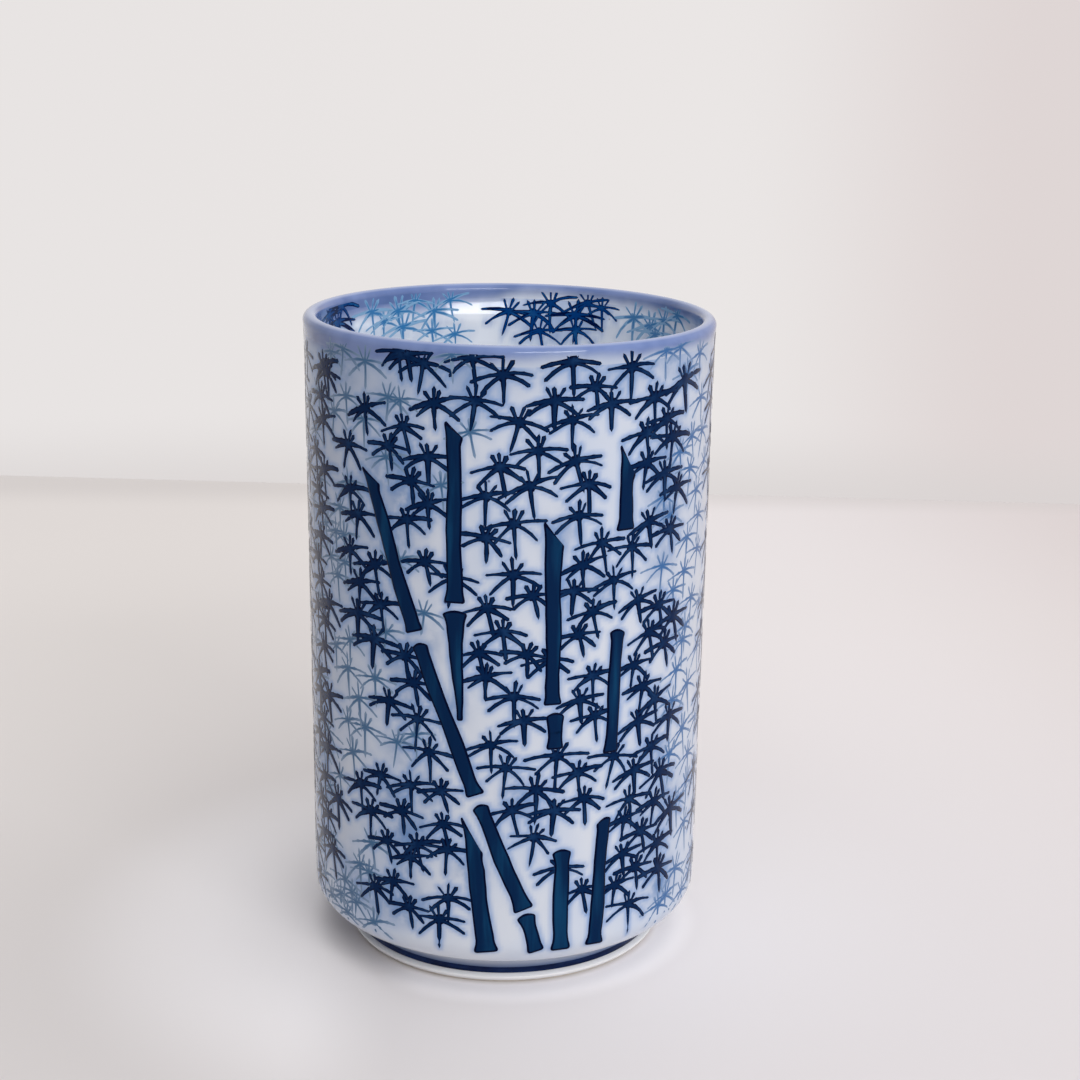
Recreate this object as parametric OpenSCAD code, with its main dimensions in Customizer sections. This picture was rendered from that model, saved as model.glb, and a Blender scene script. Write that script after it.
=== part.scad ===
// Tall straight-sided porcelain tea cup with a blue bamboo grove.
// The origin is the middle of the foot's underside and +Z points up.
// The side that faces the viewer is -Y, and turns are counted from there towards +X.

/* [Cup] */
// Height from the table to the top of the lip
cup_h = 105; // [95:1:125]
// Outside diameter at the lip
mouth_d = 66; // [60:0.5:74]
// How much smaller the wall's radius is at the shoulder than at the lip
wall_draw = 0.8; // [0.3:0.1:2.5]
// Rounding of the shoulder below the wall
shoulder_r = 4.5; // [2.5:0.1:7]

/* [Wall] */
// Finished thickness of the rounded lip
lip_t = 2.4; // [1.6:0.1:3.4]
// Finished thickness of the wall just above the inner corner
wall_t = 3.4; // [2.6:0.1:4.6]
// Finished thickness of the floor
floor_t = 4.5; // [3:0.1:7]
// Rounding between the inner wall and the floor
inner_corner_r = 9; // [5:0.5:14]
// Amount by which the lip stands out from the straight wall
lip_flare = 0.2; // [0.05:0.05:0.5]

/* [Foot] */
// Height of the glazed underside above the table
foot_h = 5.3; // [4.4:0.1:7]
// Width of the flat underside between the shoulder and the recess wall
ledge_w = 2.3; // [1:0.1:5]
// Finished thickness of the foot ring at the recess
ring_w = 3.2; // [2.6:0.1:5]
// How far the bead of the foot stands out from the recess wall
bead_proud = 0.8; // [0.5:0.1:1.2]
// Height of the bead's widest line
bead_h = 1.2; // [1:0.1:1.6]
// How much smaller the foot's radius is at the table than at the bead
foot_draw = 0.4; // [0.2:0.1:0.7]
// Height of the bare clay left unglazed at the bottom of the foot
bare_h = 0.4; // [0.35:0.05:0.6]
// Bevel on both edges of the bare clay
foot_bevel = 0.3; // [0.15:0.05:0.3]

/* [Glaze] */
// Thickness of every layer of glaze
glaze_t = 0.3; // [0.15:0.05:0.5]
// Height of the blue glaze on the outside of the lip
rim_out_h = 3; // [2:0.1:6]
// Height of the blue glaze on the inside of the lip
rim_in_h = 2.5; // [1.5:0.1:6]
// Height of the dark blue line in the recess above the foot
foot_line_h = 1; // [0.6:0.1:1.4]
// Distance from the bead's widest line up to the dark blue line
foot_line_gap = 0.35; // [0.3:0.05:0.6]

/* [Bamboo] */
// Width of a bamboo culm
culm_w = 2.7; // [2:0.1:4]
// Amount by which a culm's ends are wider on each side
culm_flare = 0.3; // [0.1:0.05:0.6]
// Length over which a culm's end widens
culm_flare_len = 2; // [1:0.1:3]
// Height of the thick blue colour above the wall
culm_relief = 0.15; // [0.08:0.01:0.4]

/* [Hidden] */
$fn = 96;
// Steps along each rounded stretch of the outline
ARC_STEPS = 10;

lip_r = lip_t / 2;
mouth_r = mouth_d / 2;
base_r = mouth_r - wall_draw;
root_r = base_r - shoulder_r - ledge_w;
bead_r = root_r + bead_proud;
foot_r = bead_r - foot_draw;
well_r = root_r - ring_w;
neck_r = mouth_r - lip_flare;
inner_mouth_r = mouth_r - lip_t;
inner_base_r = base_r - wall_t;
floor_z = foot_h + floor_t;
wall_foot_z = foot_h + shoulder_r;
lip_z = cup_h - lip_r;
rim_out_z = cup_h - rim_out_h;
rim_in_z = cup_h - rim_in_h;
inner_corner_z = floor_z + inner_corner_r;
clay_under_z = foot_h + glaze_t;
line_low_z = bead_h + foot_line_gap;
line_top_z = line_low_z + foot_line_h;

// Each row is one length of culm between two nodes: turn and height of its lower end, turn and
// height of its upper end, width of the lower and the upper end, and slope of the upper end.
// Turns are shares of a full turn, heights of the cup's height, widths of a culm's width.
front_grove_shares = [
    [-0.071, 0.576, -0.1105, 0.800, 1.04, 0.90, 1.25],
    [-0.0228, 0.333, -0.0675, 0.557, 0.94, 0.92, 0.05],
    [0.0148, 0.150, -0.0197, 0.316, 1.02, 0.86, 0.00],
    [0.0248, 0.081, 0.0162, 0.141, 0.82, 0.96, 0.00],
    [-0.0395, 0.626, -0.0402, 0.882, 0.99, 0.86, 0.95],
    [-0.0352, 0.448, -0.0394, 0.612, 0.34, 1.18, 0.00],
    [-0.0142, 0.081, -0.0262, 0.272, 1.14, 0.94, 2.35],
    [0.0345, 0.473, 0.0332, 0.733, 0.86, 1.05, 1.30],
    [0.0366, 0.404, 0.0366, 0.458, 0.80, 0.94, 0.00],
    [0.0910, 0.726, 0.0918, 0.832, 1.00, 0.96, 1.80],
    [0.0830, 0.387, 0.0866, 0.575, 0.88, 0.90, 0.10],
    [0.0728, 0.080, 0.0788, 0.281, 1.02, 0.82, -0.35],
    [0.0441, 0.080, 0.0438, 0.241, 1.00, 0.98, 0.00]
];
right_grove_shares = [
    [0.392, 0.081, 0.374, 0.262, 1.10, 1.00, 0.05],
    [0.371, 0.279, 0.348, 0.520, 1.00, 1.00, 0.00],
    [0.3455, 0.537, 0.3265, 0.772, 0.96, 0.88, 0.90],
    [0.303, 0.288, 0.3015, 0.536, 1.05, 1.00, 0.10],
    [0.301, 0.554, 0.3005, 0.842, 1.00, 0.90, 1.00],
    [0.336, 0.081, 0.3335, 0.215, 1.10, 0.96, -0.30],
    [0.416, 0.425, 0.4135, 0.665, 1.00, 0.92, 1.20],
    [0.432, 0.081, 0.4285, 0.330, 1.05, 1.00, 0.10]
];
left_grove_shares = [
    [-0.366, 0.081, -0.364, 0.325, 1.15, 1.00, 0.05],
    [-0.364, 0.343, -0.3625, 0.592, 1.00, 1.00, 0.00],
    [-0.3625, 0.610, -0.361, 0.862, 1.00, 0.86, 0.90],
    [-0.305, 0.081, -0.323, 0.280, 1.05, 1.00, 0.00],
    [-0.3245, 0.298, -0.3385, 0.485, 1.00, 0.92, -0.60],
    [-0.407, 0.455, -0.4035, 0.722, 1.00, 0.92, 1.20],
    [-0.411, 0.190, -0.4075, 0.437, 0.96, 1.00, 0.00],
    [-0.289, 0.505, -0.2865, 0.700, 0.96, 0.90, 1.30]
];
// Where the cutting shape of a culm starts, so that it stays clear of the far side of the cup
prism_start_share = 0.5;

// Points of an arc about [cx, cz], from angle a0 to angle a1
function arc(cx, cz, r, a0, a1) =
    [for (i = [0:ARC_STEPS]) let (a = a0 + (a1 - a0) * i / ARC_STEPS) [cx + r * cos(a), cz + r * sin(a)]];

function reversed(list) = [for (i = [len(list) - 1:-1:0]) list[i]];

// Radius of the straight inner wall at a height
function inner_r(z) =
    inner_base_r + (inner_mouth_r - inner_base_r) * (z - inner_corner_z) / (lip_z - inner_corner_z);

// The wall's outline from the middle of the shoulder's underside to the neck below the lip.
// depth is the distance under the finished surface.
function wall_path(depth) = concat(
    arc(base_r - shoulder_r, wall_foot_z, shoulder_r - depth, -90, 0),
    [[neck_r - depth, rim_out_z]]
);

// The lip's outline from outside to inside
function lip_path(depth) = arc(mouth_r - lip_r, lip_z, lip_r - depth, 0, 180);

// The outline of the inside, from the blue glaze down to the middle of the floor
function inside_path(depth) = concat(
    [[inner_r(rim_in_z) + depth, rim_in_z]],
    arc(inner_base_r - inner_corner_r, inner_corner_z, inner_corner_r + depth, 0, -90),
    [[0, floor_z - depth]]
);

// The unglazed fired clay of wall, lip and floor, in one piece
module porcelain_body() {
    color("#f1eeea")
        rotate_extrude()
            polygon(concat(
                [[0, clay_under_z]],
                wall_path(glaze_t),
                lip_path(glaze_t),
                inside_path(glaze_t)
            ));
}

// The ring that the cup stands on, luted to the flat underside of the body
module foot_ring() {
    color("#e9e4dc")
        rotate_extrude()
            polygon([
                [well_r + glaze_t, clay_under_z],
                [root_r - glaze_t, clay_under_z],
                [root_r - glaze_t, line_low_z - glaze_t],
                [bead_r - glaze_t, bead_h - glaze_t],
                [foot_r - glaze_t, bare_h],
                [foot_r - glaze_t, foot_bevel],
                [foot_r - glaze_t - foot_bevel, 0],
                [well_r + glaze_t + foot_bevel, 0],
                [well_r + glaze_t, foot_bevel]
            ]);
}

// The clear glaze on the wall, the shoulder and the top of the recess
module outer_glaze() {
    color("#eef0f8")
        rotate_extrude()
            polygon(concat(
                [[root_r - glaze_t, line_top_z], [root_r, line_top_z], [root_r, foot_h]],
                wall_path(0),
                reversed(wall_path(glaze_t)),
                [[root_r - glaze_t, clay_under_z]]
            ));
}

// The clear glaze on the inside
module inner_glaze() {
    color("#f6f6f8")
        rotate_extrude()
            polygon(concat(inside_path(0), reversed(inside_path(glaze_t))));
}

// The blue-tinted glaze over the lip
module rim_glaze() {
    color("#8f9fcc")
        rotate_extrude()
            polygon(concat(
                [[neck_r, rim_out_z]],
                lip_path(0),
                [[inner_r(rim_in_z), rim_in_z], [inner_r(rim_in_z) + glaze_t, rim_in_z]],
                reversed(lip_path(glaze_t)),
                [[neck_r - glaze_t, rim_out_z]]
            ));
}

// The dark blue line around the recess
module foot_line() {
    color("#1b2c5c")
        rotate_extrude()
            polygon([
                [root_r - glaze_t, line_low_z],
                [root_r, line_low_z],
                [root_r, line_top_z],
                [root_r - glaze_t, line_top_z]
            ]);
}

// The clear glaze over the bead of the foot
module foot_glaze() {
    color("#eef0f8")
        rotate_extrude()
            polygon([
                [root_r - glaze_t, line_low_z],
                [root_r, line_low_z],
                [bead_r, bead_h],
                [foot_r, bare_h],
                [foot_r - glaze_t, bare_h],
                [bead_r - glaze_t, bead_h - glaze_t],
                [root_r - glaze_t, line_low_z - glaze_t]
            ]);
}

// The clear glaze in the hollow under the cup
module well_glaze() {
    color("#eef0f8")
        rotate_extrude()
            polygon([
                [0, foot_h],
                [well_r, foot_h],
                [well_r, bare_h],
                [well_r + glaze_t, bare_h],
                [well_r + glaze_t, clay_under_z],
                [0, clay_under_z]
            ]);
}

// The thin layer on the wall in which every culm lies
module culm_layer() {
    rotate_extrude()
        polygon(concat(wall_path(0), reversed(wall_path(-culm_relief))));
}

// The outline of one length of culm, standing on its lower end. Widths are shares of culm_w.
module culm_outline(length, low_share, top_share, slope_share) {
    low_w = culm_w * low_share;
    top_w = culm_w * top_share;
    low_flare = culm_flare * low_share;
    top_flare = culm_flare * top_share;
    rise = slope_share * top_w / 2;
    polygon([
        [-low_w / 2 - low_flare, 0],
        [low_w / 2 + low_flare, 0],
        [low_w / 2, culm_flare_len],
        [top_w / 2, length - culm_flare_len - rise],
        [top_w / 2 + top_flare, length - rise],
        [-top_w / 2 - top_flare, length + rise],
        [-top_w / 2, length - culm_flare_len + rise],
        [-low_w / 2, culm_flare_len]
    ]);
}

// One length of culm in relief, from its row of shares
module culm(row) {
    middle_turn = 360 * (row[0] + row[2]) / 2;
    half_swing = base_r * sin(360 * (row[2] - row[0]) / 2);
    rise = cup_h * (row[3] - row[1]);
    lean = atan2(2 * half_swing, rise);
    intersection() {
        culm_layer();
        rotate([0, 0, middle_turn])
            translate([0, -prism_start_share * base_r, 0])
                rotate([90, 0, 0])
                    linear_extrude(height = mouth_r)
                        translate([-half_swing, cup_h * row[1]])
                            rotate([0, 0, -lean])
                                culm_outline(rise / cos(lean), row[4], row[5], row[6]);
    }
}

// All lengths of culm around the wall
module bamboo_culms() {
    color("#16305c")
        for (row = concat(front_grove_shares, right_grove_shares, left_grove_shares))
            culm(row);
}

porcelain_body();
foot_ring();
outer_glaze();
inner_glaze();
rim_glaze();
foot_line();
foot_glaze();
well_glaze();
bamboo_culms();
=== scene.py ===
"""A tall porcelain tea cup with a blue bamboo grove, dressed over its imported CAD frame."""
import math
import random

import bmesh
import bpy
import numpy as np
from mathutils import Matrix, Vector
from mathutils.bvhtree import BVHTree


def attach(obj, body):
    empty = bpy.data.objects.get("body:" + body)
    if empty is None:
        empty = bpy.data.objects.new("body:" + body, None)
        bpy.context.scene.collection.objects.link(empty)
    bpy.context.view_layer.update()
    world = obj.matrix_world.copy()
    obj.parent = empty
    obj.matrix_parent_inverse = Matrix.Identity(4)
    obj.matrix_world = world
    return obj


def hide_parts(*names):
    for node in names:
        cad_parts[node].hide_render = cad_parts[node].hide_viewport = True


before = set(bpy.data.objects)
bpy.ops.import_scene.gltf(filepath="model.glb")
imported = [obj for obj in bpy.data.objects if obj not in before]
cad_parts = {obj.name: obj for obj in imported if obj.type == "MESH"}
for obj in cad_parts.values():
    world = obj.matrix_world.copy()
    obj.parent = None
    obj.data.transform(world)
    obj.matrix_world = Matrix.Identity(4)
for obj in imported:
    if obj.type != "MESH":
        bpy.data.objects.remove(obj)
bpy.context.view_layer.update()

MM = 0.001

# The cup's sizes in millimetres, as in the part's source. The mouth is a hundredth less than
# there, because the flat facets of the CAD's mesh don't quite reach its full radius.
CUP_H = 105.0
MOUTH_R = 32.99
NECK_R = 32.8
BASE_R = 32.2
SHOULDER_R = 4.5
ROOT_R = 25.4
LIP_ROUND = 1.2
INNER_MOUTH_R = 30.6
INNER_BASE_R = 28.8
INNER_CORNER_R = 9.0
FOOT_H = 5.3
FLOOR_Z = 9.8
WELL_R = 22.2
BEAD_R = 26.2
BEAD_Z = 1.2
FOOT_R = 25.8
BARE_Z = 0.4
FOOT_BEVEL = 0.3
LINE_LOW_Z = 1.55
LINE_TOP_Z = 2.55
GLAZE = 0.3
RIM_OUT_Z = 102.0
RIM_IN_Z = 102.5
WALL_FOOT_Z = 9.8
LIP_Z = CUP_H - LIP_ROUND
INNER_CORNER_Z = FLOOR_Z + INNER_CORNER_R
CLAY_UNDER_Z = FOOT_H + GLAZE
# Roundings of the glaze over the recess and in the hollow, and how far the navy line stands out
RECESS_FILLET = 0.25
HOLLOW_FILLET = 0.8
LINE_RELIEF = 0.03

# Steps around the cup, up the painted wall, down the inside, and along hidden and short faces
TURN_STEPS = 400
WALL_STEPS = 185
INSIDE_STEPS = 60
ARC_STEPS = 16
HIDDEN_STEPS = 8
FLOOR_STEPS = 6
SHORT_STEPS = 4

# The photograph's camera: image size, focal length and middle of view in its pixels
PHOTO_SIDE = 1080
FOCAL_PX = 2028.6
MIDDLE_PX = (600.0, 540.0)
CAMERA_SPOT = (0.0, -323.17, 155.70)
CAMERA_TURN = 0.0468
CAMERA_DIP = 0.267
CAMERA_ROLL = 0.022
SENSOR_MM = 36.0

# Lengths of culm: turn and height of the lower end, turn and height of the upper end, width of
# both ends, slope of the upper end. Turns are shares of a full turn, heights of the cup's height,
# widths of a culm's width, as in the part's source.
CULM_W = 2.7
CULM_FLARE = 0.3
CULM_FLARE_LEN = 2.0
CULM_RELIEF = 0.15
FRONT_GROVE = [
    (-0.071, 0.576, -0.1105, 0.800, 1.04, 0.90, 1.25),
    (-0.0228, 0.333, -0.0675, 0.557, 0.94, 0.92, 0.05),
    (0.0148, 0.150, -0.0197, 0.316, 1.02, 0.86, 0.00),
    (0.0248, 0.081, 0.0162, 0.141, 0.82, 0.96, 0.00),
    (-0.0395, 0.626, -0.0402, 0.882, 0.99, 0.86, 0.95),
    (-0.0352, 0.448, -0.0394, 0.612, 0.34, 1.18, 0.00),
    (-0.0142, 0.081, -0.0262, 0.272, 1.14, 0.94, 2.35),
    (0.0345, 0.473, 0.0332, 0.733, 0.86, 1.05, 1.30),
    (0.0366, 0.404, 0.0366, 0.458, 0.80, 0.94, 0.00),
    (0.0910, 0.726, 0.0918, 0.832, 1.00, 0.96, 1.80),
    (0.0830, 0.387, 0.0866, 0.575, 0.88, 0.90, 0.10),
    (0.0728, 0.080, 0.0788, 0.281, 1.02, 0.82, -0.35),
    (0.0441, 0.080, 0.0438, 0.241, 1.00, 0.98, 0.00),
]
RIGHT_GROVE = [
    (0.392, 0.081, 0.374, 0.262, 1.10, 1.00, 0.05),
    (0.371, 0.279, 0.348, 0.520, 1.00, 1.00, 0.00),
    (0.3455, 0.537, 0.3265, 0.772, 0.96, 0.88, 0.90),
    (0.303, 0.288, 0.3015, 0.536, 1.05, 1.00, 0.10),
    (0.301, 0.554, 0.3005, 0.842, 1.00, 0.90, 1.00),
    (0.336, 0.081, 0.3335, 0.215, 1.10, 0.96, -0.30),
    (0.416, 0.425, 0.4135, 0.665, 1.00, 0.92, 1.20),
    (0.432, 0.081, 0.4285, 0.330, 1.05, 1.00, 0.10),
]
LEFT_GROVE = [
    (-0.366, 0.081, -0.364, 0.325, 1.15, 1.00, 0.05),
    (-0.364, 0.343, -0.3625, 0.592, 1.00, 1.00, 0.00),
    (-0.3625, 0.610, -0.361, 0.862, 1.00, 0.86, 0.90),
    (-0.305, 0.081, -0.323, 0.280, 1.05, 1.00, 0.00),
    (-0.3245, 0.298, -0.3385, 0.485, 1.00, 0.92, -0.60),
    (-0.407, 0.455, -0.4035, 0.722, 1.00, 0.92, 1.20),
    (-0.411, 0.190, -0.4075, 0.437, 0.96, 1.00, 0.00),
    (-0.289, 0.505, -0.2865, 0.700, 0.96, 0.90, 1.30),
]

# Dark leaf sprays on the front: middle and half width in the photograph's pixels, read one by one
FRONT_SPRAYS_PX = [
    (399, 352, 18), (423, 363, 28), (472, 358, 30), (503, 375, 31), (573, 362, 30), (632, 367, 26),
    (596, 387, 20), (685, 380, 18), (655, 398, 20), (555, 401, 27), (612, 404, 23), (475, 401, 29),
    (434, 403, 26), (365, 408, 18), (403, 426, 20), (519, 422, 30), (573, 420, 27), (667, 419, 16),
    (647, 433, 20), (673, 437, 17), (348, 444, 15), (389, 446, 21), (538, 451, 29), (428, 457, 25),
    (576, 461, 28), (647, 463, 14), (500, 467, 27), (665, 473, 17), (411, 481, 24), (530, 486, 31),
    (589, 484, 25), (677, 487, 15), (350, 489, 12), (486, 496, 29), (428, 504, 24), (358, 514, 15),
    (579, 516, 26), (407, 520, 22), (649, 522, 17), (514, 524, 30), (670, 529, 15), (486, 538, 26),
    (602, 543, 25), (632, 547, 22), (350, 549, 14), (425, 562, 23), (375, 565, 20), (583, 565, 24),
    (513, 575, 30), (452, 578, 28), (614, 580, 24), (360, 582, 17), (574, 591, 22), (533, 596, 24),
    (638, 600, 17), (659, 605, 17), (381, 605, 20), (487, 608, 26), (593, 612, 23), (358, 613, 19),
    (673, 616, 16), (503, 632, 26), (649, 632, 17), (579, 635, 21), (374, 639, 21), (664, 643, 16),
    (479, 653, 25), (527, 655, 24), (405, 656, 23), (550, 660, 26), (634, 665, 17), (486, 677, 25),
    (593, 676, 19), (414, 683, 23), (643, 686, 14), (514, 697, 28), (655, 699, 16), (580, 700, 18),
    (389, 701, 21), (669, 715, 14), (595, 716, 18), (418, 719, 26), (638, 721, 15), (524, 721, 25),
    (491, 745, 27), (651, 747, 17), (429, 752, 26), (557, 756, 30), (614, 756, 24), (506, 768, 27),
    (634, 770, 18), (660, 771, 17), (578, 773, 23), (381, 775, 17), (361, 784, 10), (411, 785, 25),
    (536, 790, 30), (441, 791, 23), (584, 798, 23), (629, 799, 21), (654, 801, 14), (670, 808, 15),
    (371, 811, 13), (402, 811, 22), (512, 811, 22), (554, 811, 25), (624, 819, 18), (443, 824, 22),
    (641, 831, 17), (534, 837, 27), (387, 841, 18), (657, 843, 15), (417, 845, 22), (447, 850, 21),
    (622, 854, 17), (411, 857, 20), (635, 867, 16), (658, 868, 16), (560, 868, 26), (393, 881, 20),
    (375, 886, 14), (615, 885, 18), (582, 889, 16), (448, 898, 26), (628, 904, 21), (409, 907, 20),
    (439, 919, 27), (323, 366, 13), (327, 372, 12), (323, 419, 10), (316, 449, 8), (324, 470, 12),
    (322, 509, 10), (321, 580, 9), (329, 603, 12), (325, 620, 10), (320, 672, 9), (329, 695, 12),
    (324, 718, 9), (328, 747, 12), (325, 776, 9), (338, 798, 14), (328, 814, 9), (333, 848, 12),
    (408, 355, 22), (321, 395, 10), (319, 490, 9), (321, 535, 9), (318, 556, 8),
    (324, 645, 10), (318, 605, 8), (321, 690, 9), (320, 732, 8), (322, 795, 8), (324, 832, 9),
]
# Pale sprays under the glaze, read the same way
PALE_SPRAYS_PX = [
    (343, 349, 17), (365, 361, 20), (331, 352, 12), (346, 396, 16), (334, 411, 15),
    (388, 397, 22), (364, 419, 18), (386, 457, 22), (348, 482, 16), (340, 507, 14), (326, 523, 11),
    (336, 531, 13), (344, 535, 14), (331, 556, 12), (345, 562, 14), (338, 575, 14), (350, 640, 15),
    (348, 668, 17), (375, 678, 20), (359, 698, 19), (365, 727, 20), (397, 742, 22), (353, 752, 18),
    (386, 632, 20), (424, 613, 22), (372, 843, 20), (360, 864, 18), (369, 872, 18), (345, 879, 16),
    (352, 892, 16), (341, 893, 15), (356, 902, 16), (347, 912, 15), (374, 922, 20),
    (325, 873, 10), (332, 894, 12), (336, 645, 12), (348, 720, 14), (340, 775, 13),
    (318, 390, 8), (317, 545, 8), (316, 640, 8), (318, 760, 8), (321, 840, 8), (400, 400, 20),
    (441, 485, 22), (470, 432, 22), (452, 355, 22), (400, 560, 20), (415, 735, 22), (388, 560, 18),
    (680, 347, 16), (666, 351, 18), (700, 353, 8), (688, 372, 12), (701, 397, 8), (692, 436, 11),
    (690, 468, 11), (704, 460, 7), (696, 490, 9), (698, 514, 8), (687, 537, 12), (670, 515, 16),
    (697, 548, 8), (662, 566, 17), (684, 571, 13), (673, 590, 14), (691, 597, 11), (685, 626, 12),
    (697, 645, 8), (676, 670, 14), (687, 683, 12), (699, 600, 7), (698, 690, 8), (682, 728, 13),
    (695, 716, 9), (669, 754, 16), (686, 781, 12), (684, 821, 12), (675, 868, 14), (690, 850, 8),
    (681, 890, 10), (658, 905, 16), (688, 870, 9), (676, 800, 13), (694, 770, 8), (672, 700, 14),
    (680, 452, 13), (664, 497, 16), (682, 640, 13), (702, 430, 7), (665, 895, 15),
]
# Blurred blue patches where the colour ran under the glaze: middle and radius in pixels
WASH_PX = [
    (425, 352, 12), (468, 398, 10), (387, 398, 12), (408, 455, 12), (440, 485, 11), (398, 492, 12),
    (418, 508, 14), (395, 535, 10), (672, 425, 10), (664, 462, 10), (662, 490, 11), (668, 515, 11),
    (662, 560, 8), (600, 585, 12), (425, 640, 11), (400, 745, 12), (560, 590, 9), (655, 745, 10),
    (668, 790, 9), (640, 820, 11), (655, 880, 12), (430, 790, 14), (420, 830, 12), (470, 870, 9),
    (520, 800, 12), (450, 705, 9), (672, 350, 12), (400, 905, 14), (370, 900, 12), (350, 870, 12),
    (368, 470, 16), (390, 455, 12), (362, 580, 14), (378, 525, 13), (380, 600, 12), (402, 660, 13),
    (404, 700, 14), (402, 830, 15), (400, 875, 14), (392, 790, 13), (415, 905, 10), (345, 362, 13),
    (378, 640, 11), (478, 366, 15), (560, 530, 9), (655, 838, 13), (664, 872, 13), (628, 365, 10),
]
# Sprays seen over the lip, on the far side of the inner wall
INSIDE_DARK_PX = [
    (509, 311, 24), (534, 313, 26), (551, 303, 24), (576, 315, 26), (588, 303, 22), (540, 331, 24),
    (576, 330, 22), (602, 308, 16), (342, 306, 16), (329, 316, 12), (338, 322, 14),
]
INSIDE_PALE_PX = [
    (372, 312, 20), (398, 311, 22), (434, 311, 22), (450, 300, 18), (415, 301, 18), (403, 327, 22),
    (432, 331, 20), (384, 322, 16), (634, 318, 20), (650, 326, 20), (664, 321, 18),
    (677, 316, 14), (655, 335, 18), (455, 334, 16),
]


def tone(red, green, blue):
    """A colour written as it shows on the screen, from 0 to 255, as the shader's linear one."""
    def linear(level):
        share = level / 255.0
        return share / 12.92 if share <= 0.04045 else ((share + 0.055) / 1.055) ** 2.4
    return (linear(red), linear(green), linear(blue), 1.0)


def smooth_share(value, low, high):
    """0 below low, 1 above high and a soft ramp between, for numbers or arrays."""
    share = np.clip((value - low) / (high - low), 0.0, 1.0)
    return share * share * (3.0 - 2.0 * share)


def wall_radius(height):
    """The straight outer wall's radius at a height, in millimetres."""
    return BASE_R + (NECK_R - BASE_R) * (height - WALL_FOOT_Z) / (RIM_OUT_Z - WALL_FOOT_Z)


def inner_radius(height):
    """The inner wall's radius at a height, in millimetres."""
    rise = (height - INNER_CORNER_Z) / (LIP_Z - INNER_CORNER_Z)
    return INNER_BASE_R + (INNER_MOUTH_R - INNER_BASE_R) * rise


# Camera

def camera_directions():
    """Forward, right and up of the photograph's camera."""
    forward = Vector((
        math.sin(CAMERA_TURN) * math.cos(CAMERA_DIP),
        math.cos(CAMERA_TURN) * math.cos(CAMERA_DIP),
        -math.sin(CAMERA_DIP),
    ))
    level = Vector((math.cos(CAMERA_TURN), -math.sin(CAMERA_TURN), 0.0))
    above = level.cross(forward)
    right = math.cos(CAMERA_ROLL) * level + math.sin(CAMERA_ROLL) * above
    up = math.cos(CAMERA_ROLL) * above - math.sin(CAMERA_ROLL) * level
    return forward, right, up


def place_camera():
    """The photograph's camera, with the small shift that its framing needs."""
    forward, right, up = camera_directions()
    data = bpy.data.cameras.new("photo_camera")
    data.sensor_width = SENSOR_MM
    data.lens = FOCAL_PX / PHOTO_SIDE * SENSOR_MM
    data.shift_x = (PHOTO_SIDE / 2 - MIDDLE_PX[0]) / PHOTO_SIDE
    data.clip_start = 0.01
    camera = bpy.data.objects.new("photo_camera", data)
    bpy.context.scene.collection.objects.link(camera)
    turn = camera.matrix_world.to_3x3()
    turn.col[0] = right
    turn.col[1] = up
    turn.col[2] = -forward
    camera.matrix_world = turn.to_4x4()
    camera.location = Vector(CAMERA_SPOT) * MM
    bpy.context.scene.camera = camera


def spot_on_wall(pixel, low_r, low_z, top_r, top_z, far_side):
    """Where a pixel's ray meets a wall of the cup: turn in radians and height in millimetres, and
    how many millimetres the pixel spans there."""
    forward, right, up = camera_directions()
    across = (pixel[0] - MIDDLE_PX[0]) / FOCAL_PX
    down = (pixel[1] - MIDDLE_PX[1]) / FOCAL_PX
    ray = forward + across * right - down * up
    start = Vector(CAMERA_SPOT)
    slope = (top_r - low_r) / (top_z - low_z)
    radius = low_r + slope * (start.z - low_z)
    square = ray.x ** 2 + ray.y ** 2 - (slope * ray.z) ** 2
    half = start.x * ray.x + start.y * ray.y - radius * slope * ray.z
    rest = start.x ** 2 + start.y ** 2 - radius ** 2
    room = max(half * half - square * rest, 0.0)
    reach = (-half + math.sqrt(room) * (1.0 if far_side else -1.0)) / square
    spot = start + reach * ray
    return math.atan2(spot.x, -spot.y), spot.z, reach / FOCAL_PX


# Turned pieces

def arc(middle_r, middle_z, radius, first, last, steps=ARC_STEPS):
    """Points of an arc in the cup's outline, between two angles in degrees."""
    points = []
    for step in range(steps + 1):
        angle = math.radians(first + (last - first) * step / steps)
        points.append((middle_r + radius * math.cos(angle), middle_z + radius * math.sin(angle)))
    return points


def straight(start, end, steps):
    """Points strictly between two points of an outline."""
    return [
        (
            start[0] + (end[0] - start[0]) * step / steps,
            start[1] + (end[1] - start[1]) * step / steps,
        )
        for step in range(1, steps)
    ]


def add_piece(name, mesh, finish, node_names, sharp_degrees=32):
    """A finished mesh as a piece that rides on the cup and stands for its CAD nodes."""
    mesh.materials.clear()
    mesh.materials.append(finish)
    mesh.polygons.foreach_set("use_smooth", [True] * len(mesh.polygons))
    mesh.set_sharp_from_angle(angle=math.radians(sharp_degrees))
    mesh.update()
    piece = bpy.data.objects.new(name, mesh)
    bpy.context.scene.collection.objects.link(piece)
    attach(piece, "root")
    if node_names:
        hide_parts(*node_names)
    return piece


def store_shades(mesh, name, shades):
    """Stores one number on each of a mesh's points."""
    layer = mesh.attributes.new(name, "FLOAT", "POINT")
    layer.data.foreach_set("value", shades)


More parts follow.
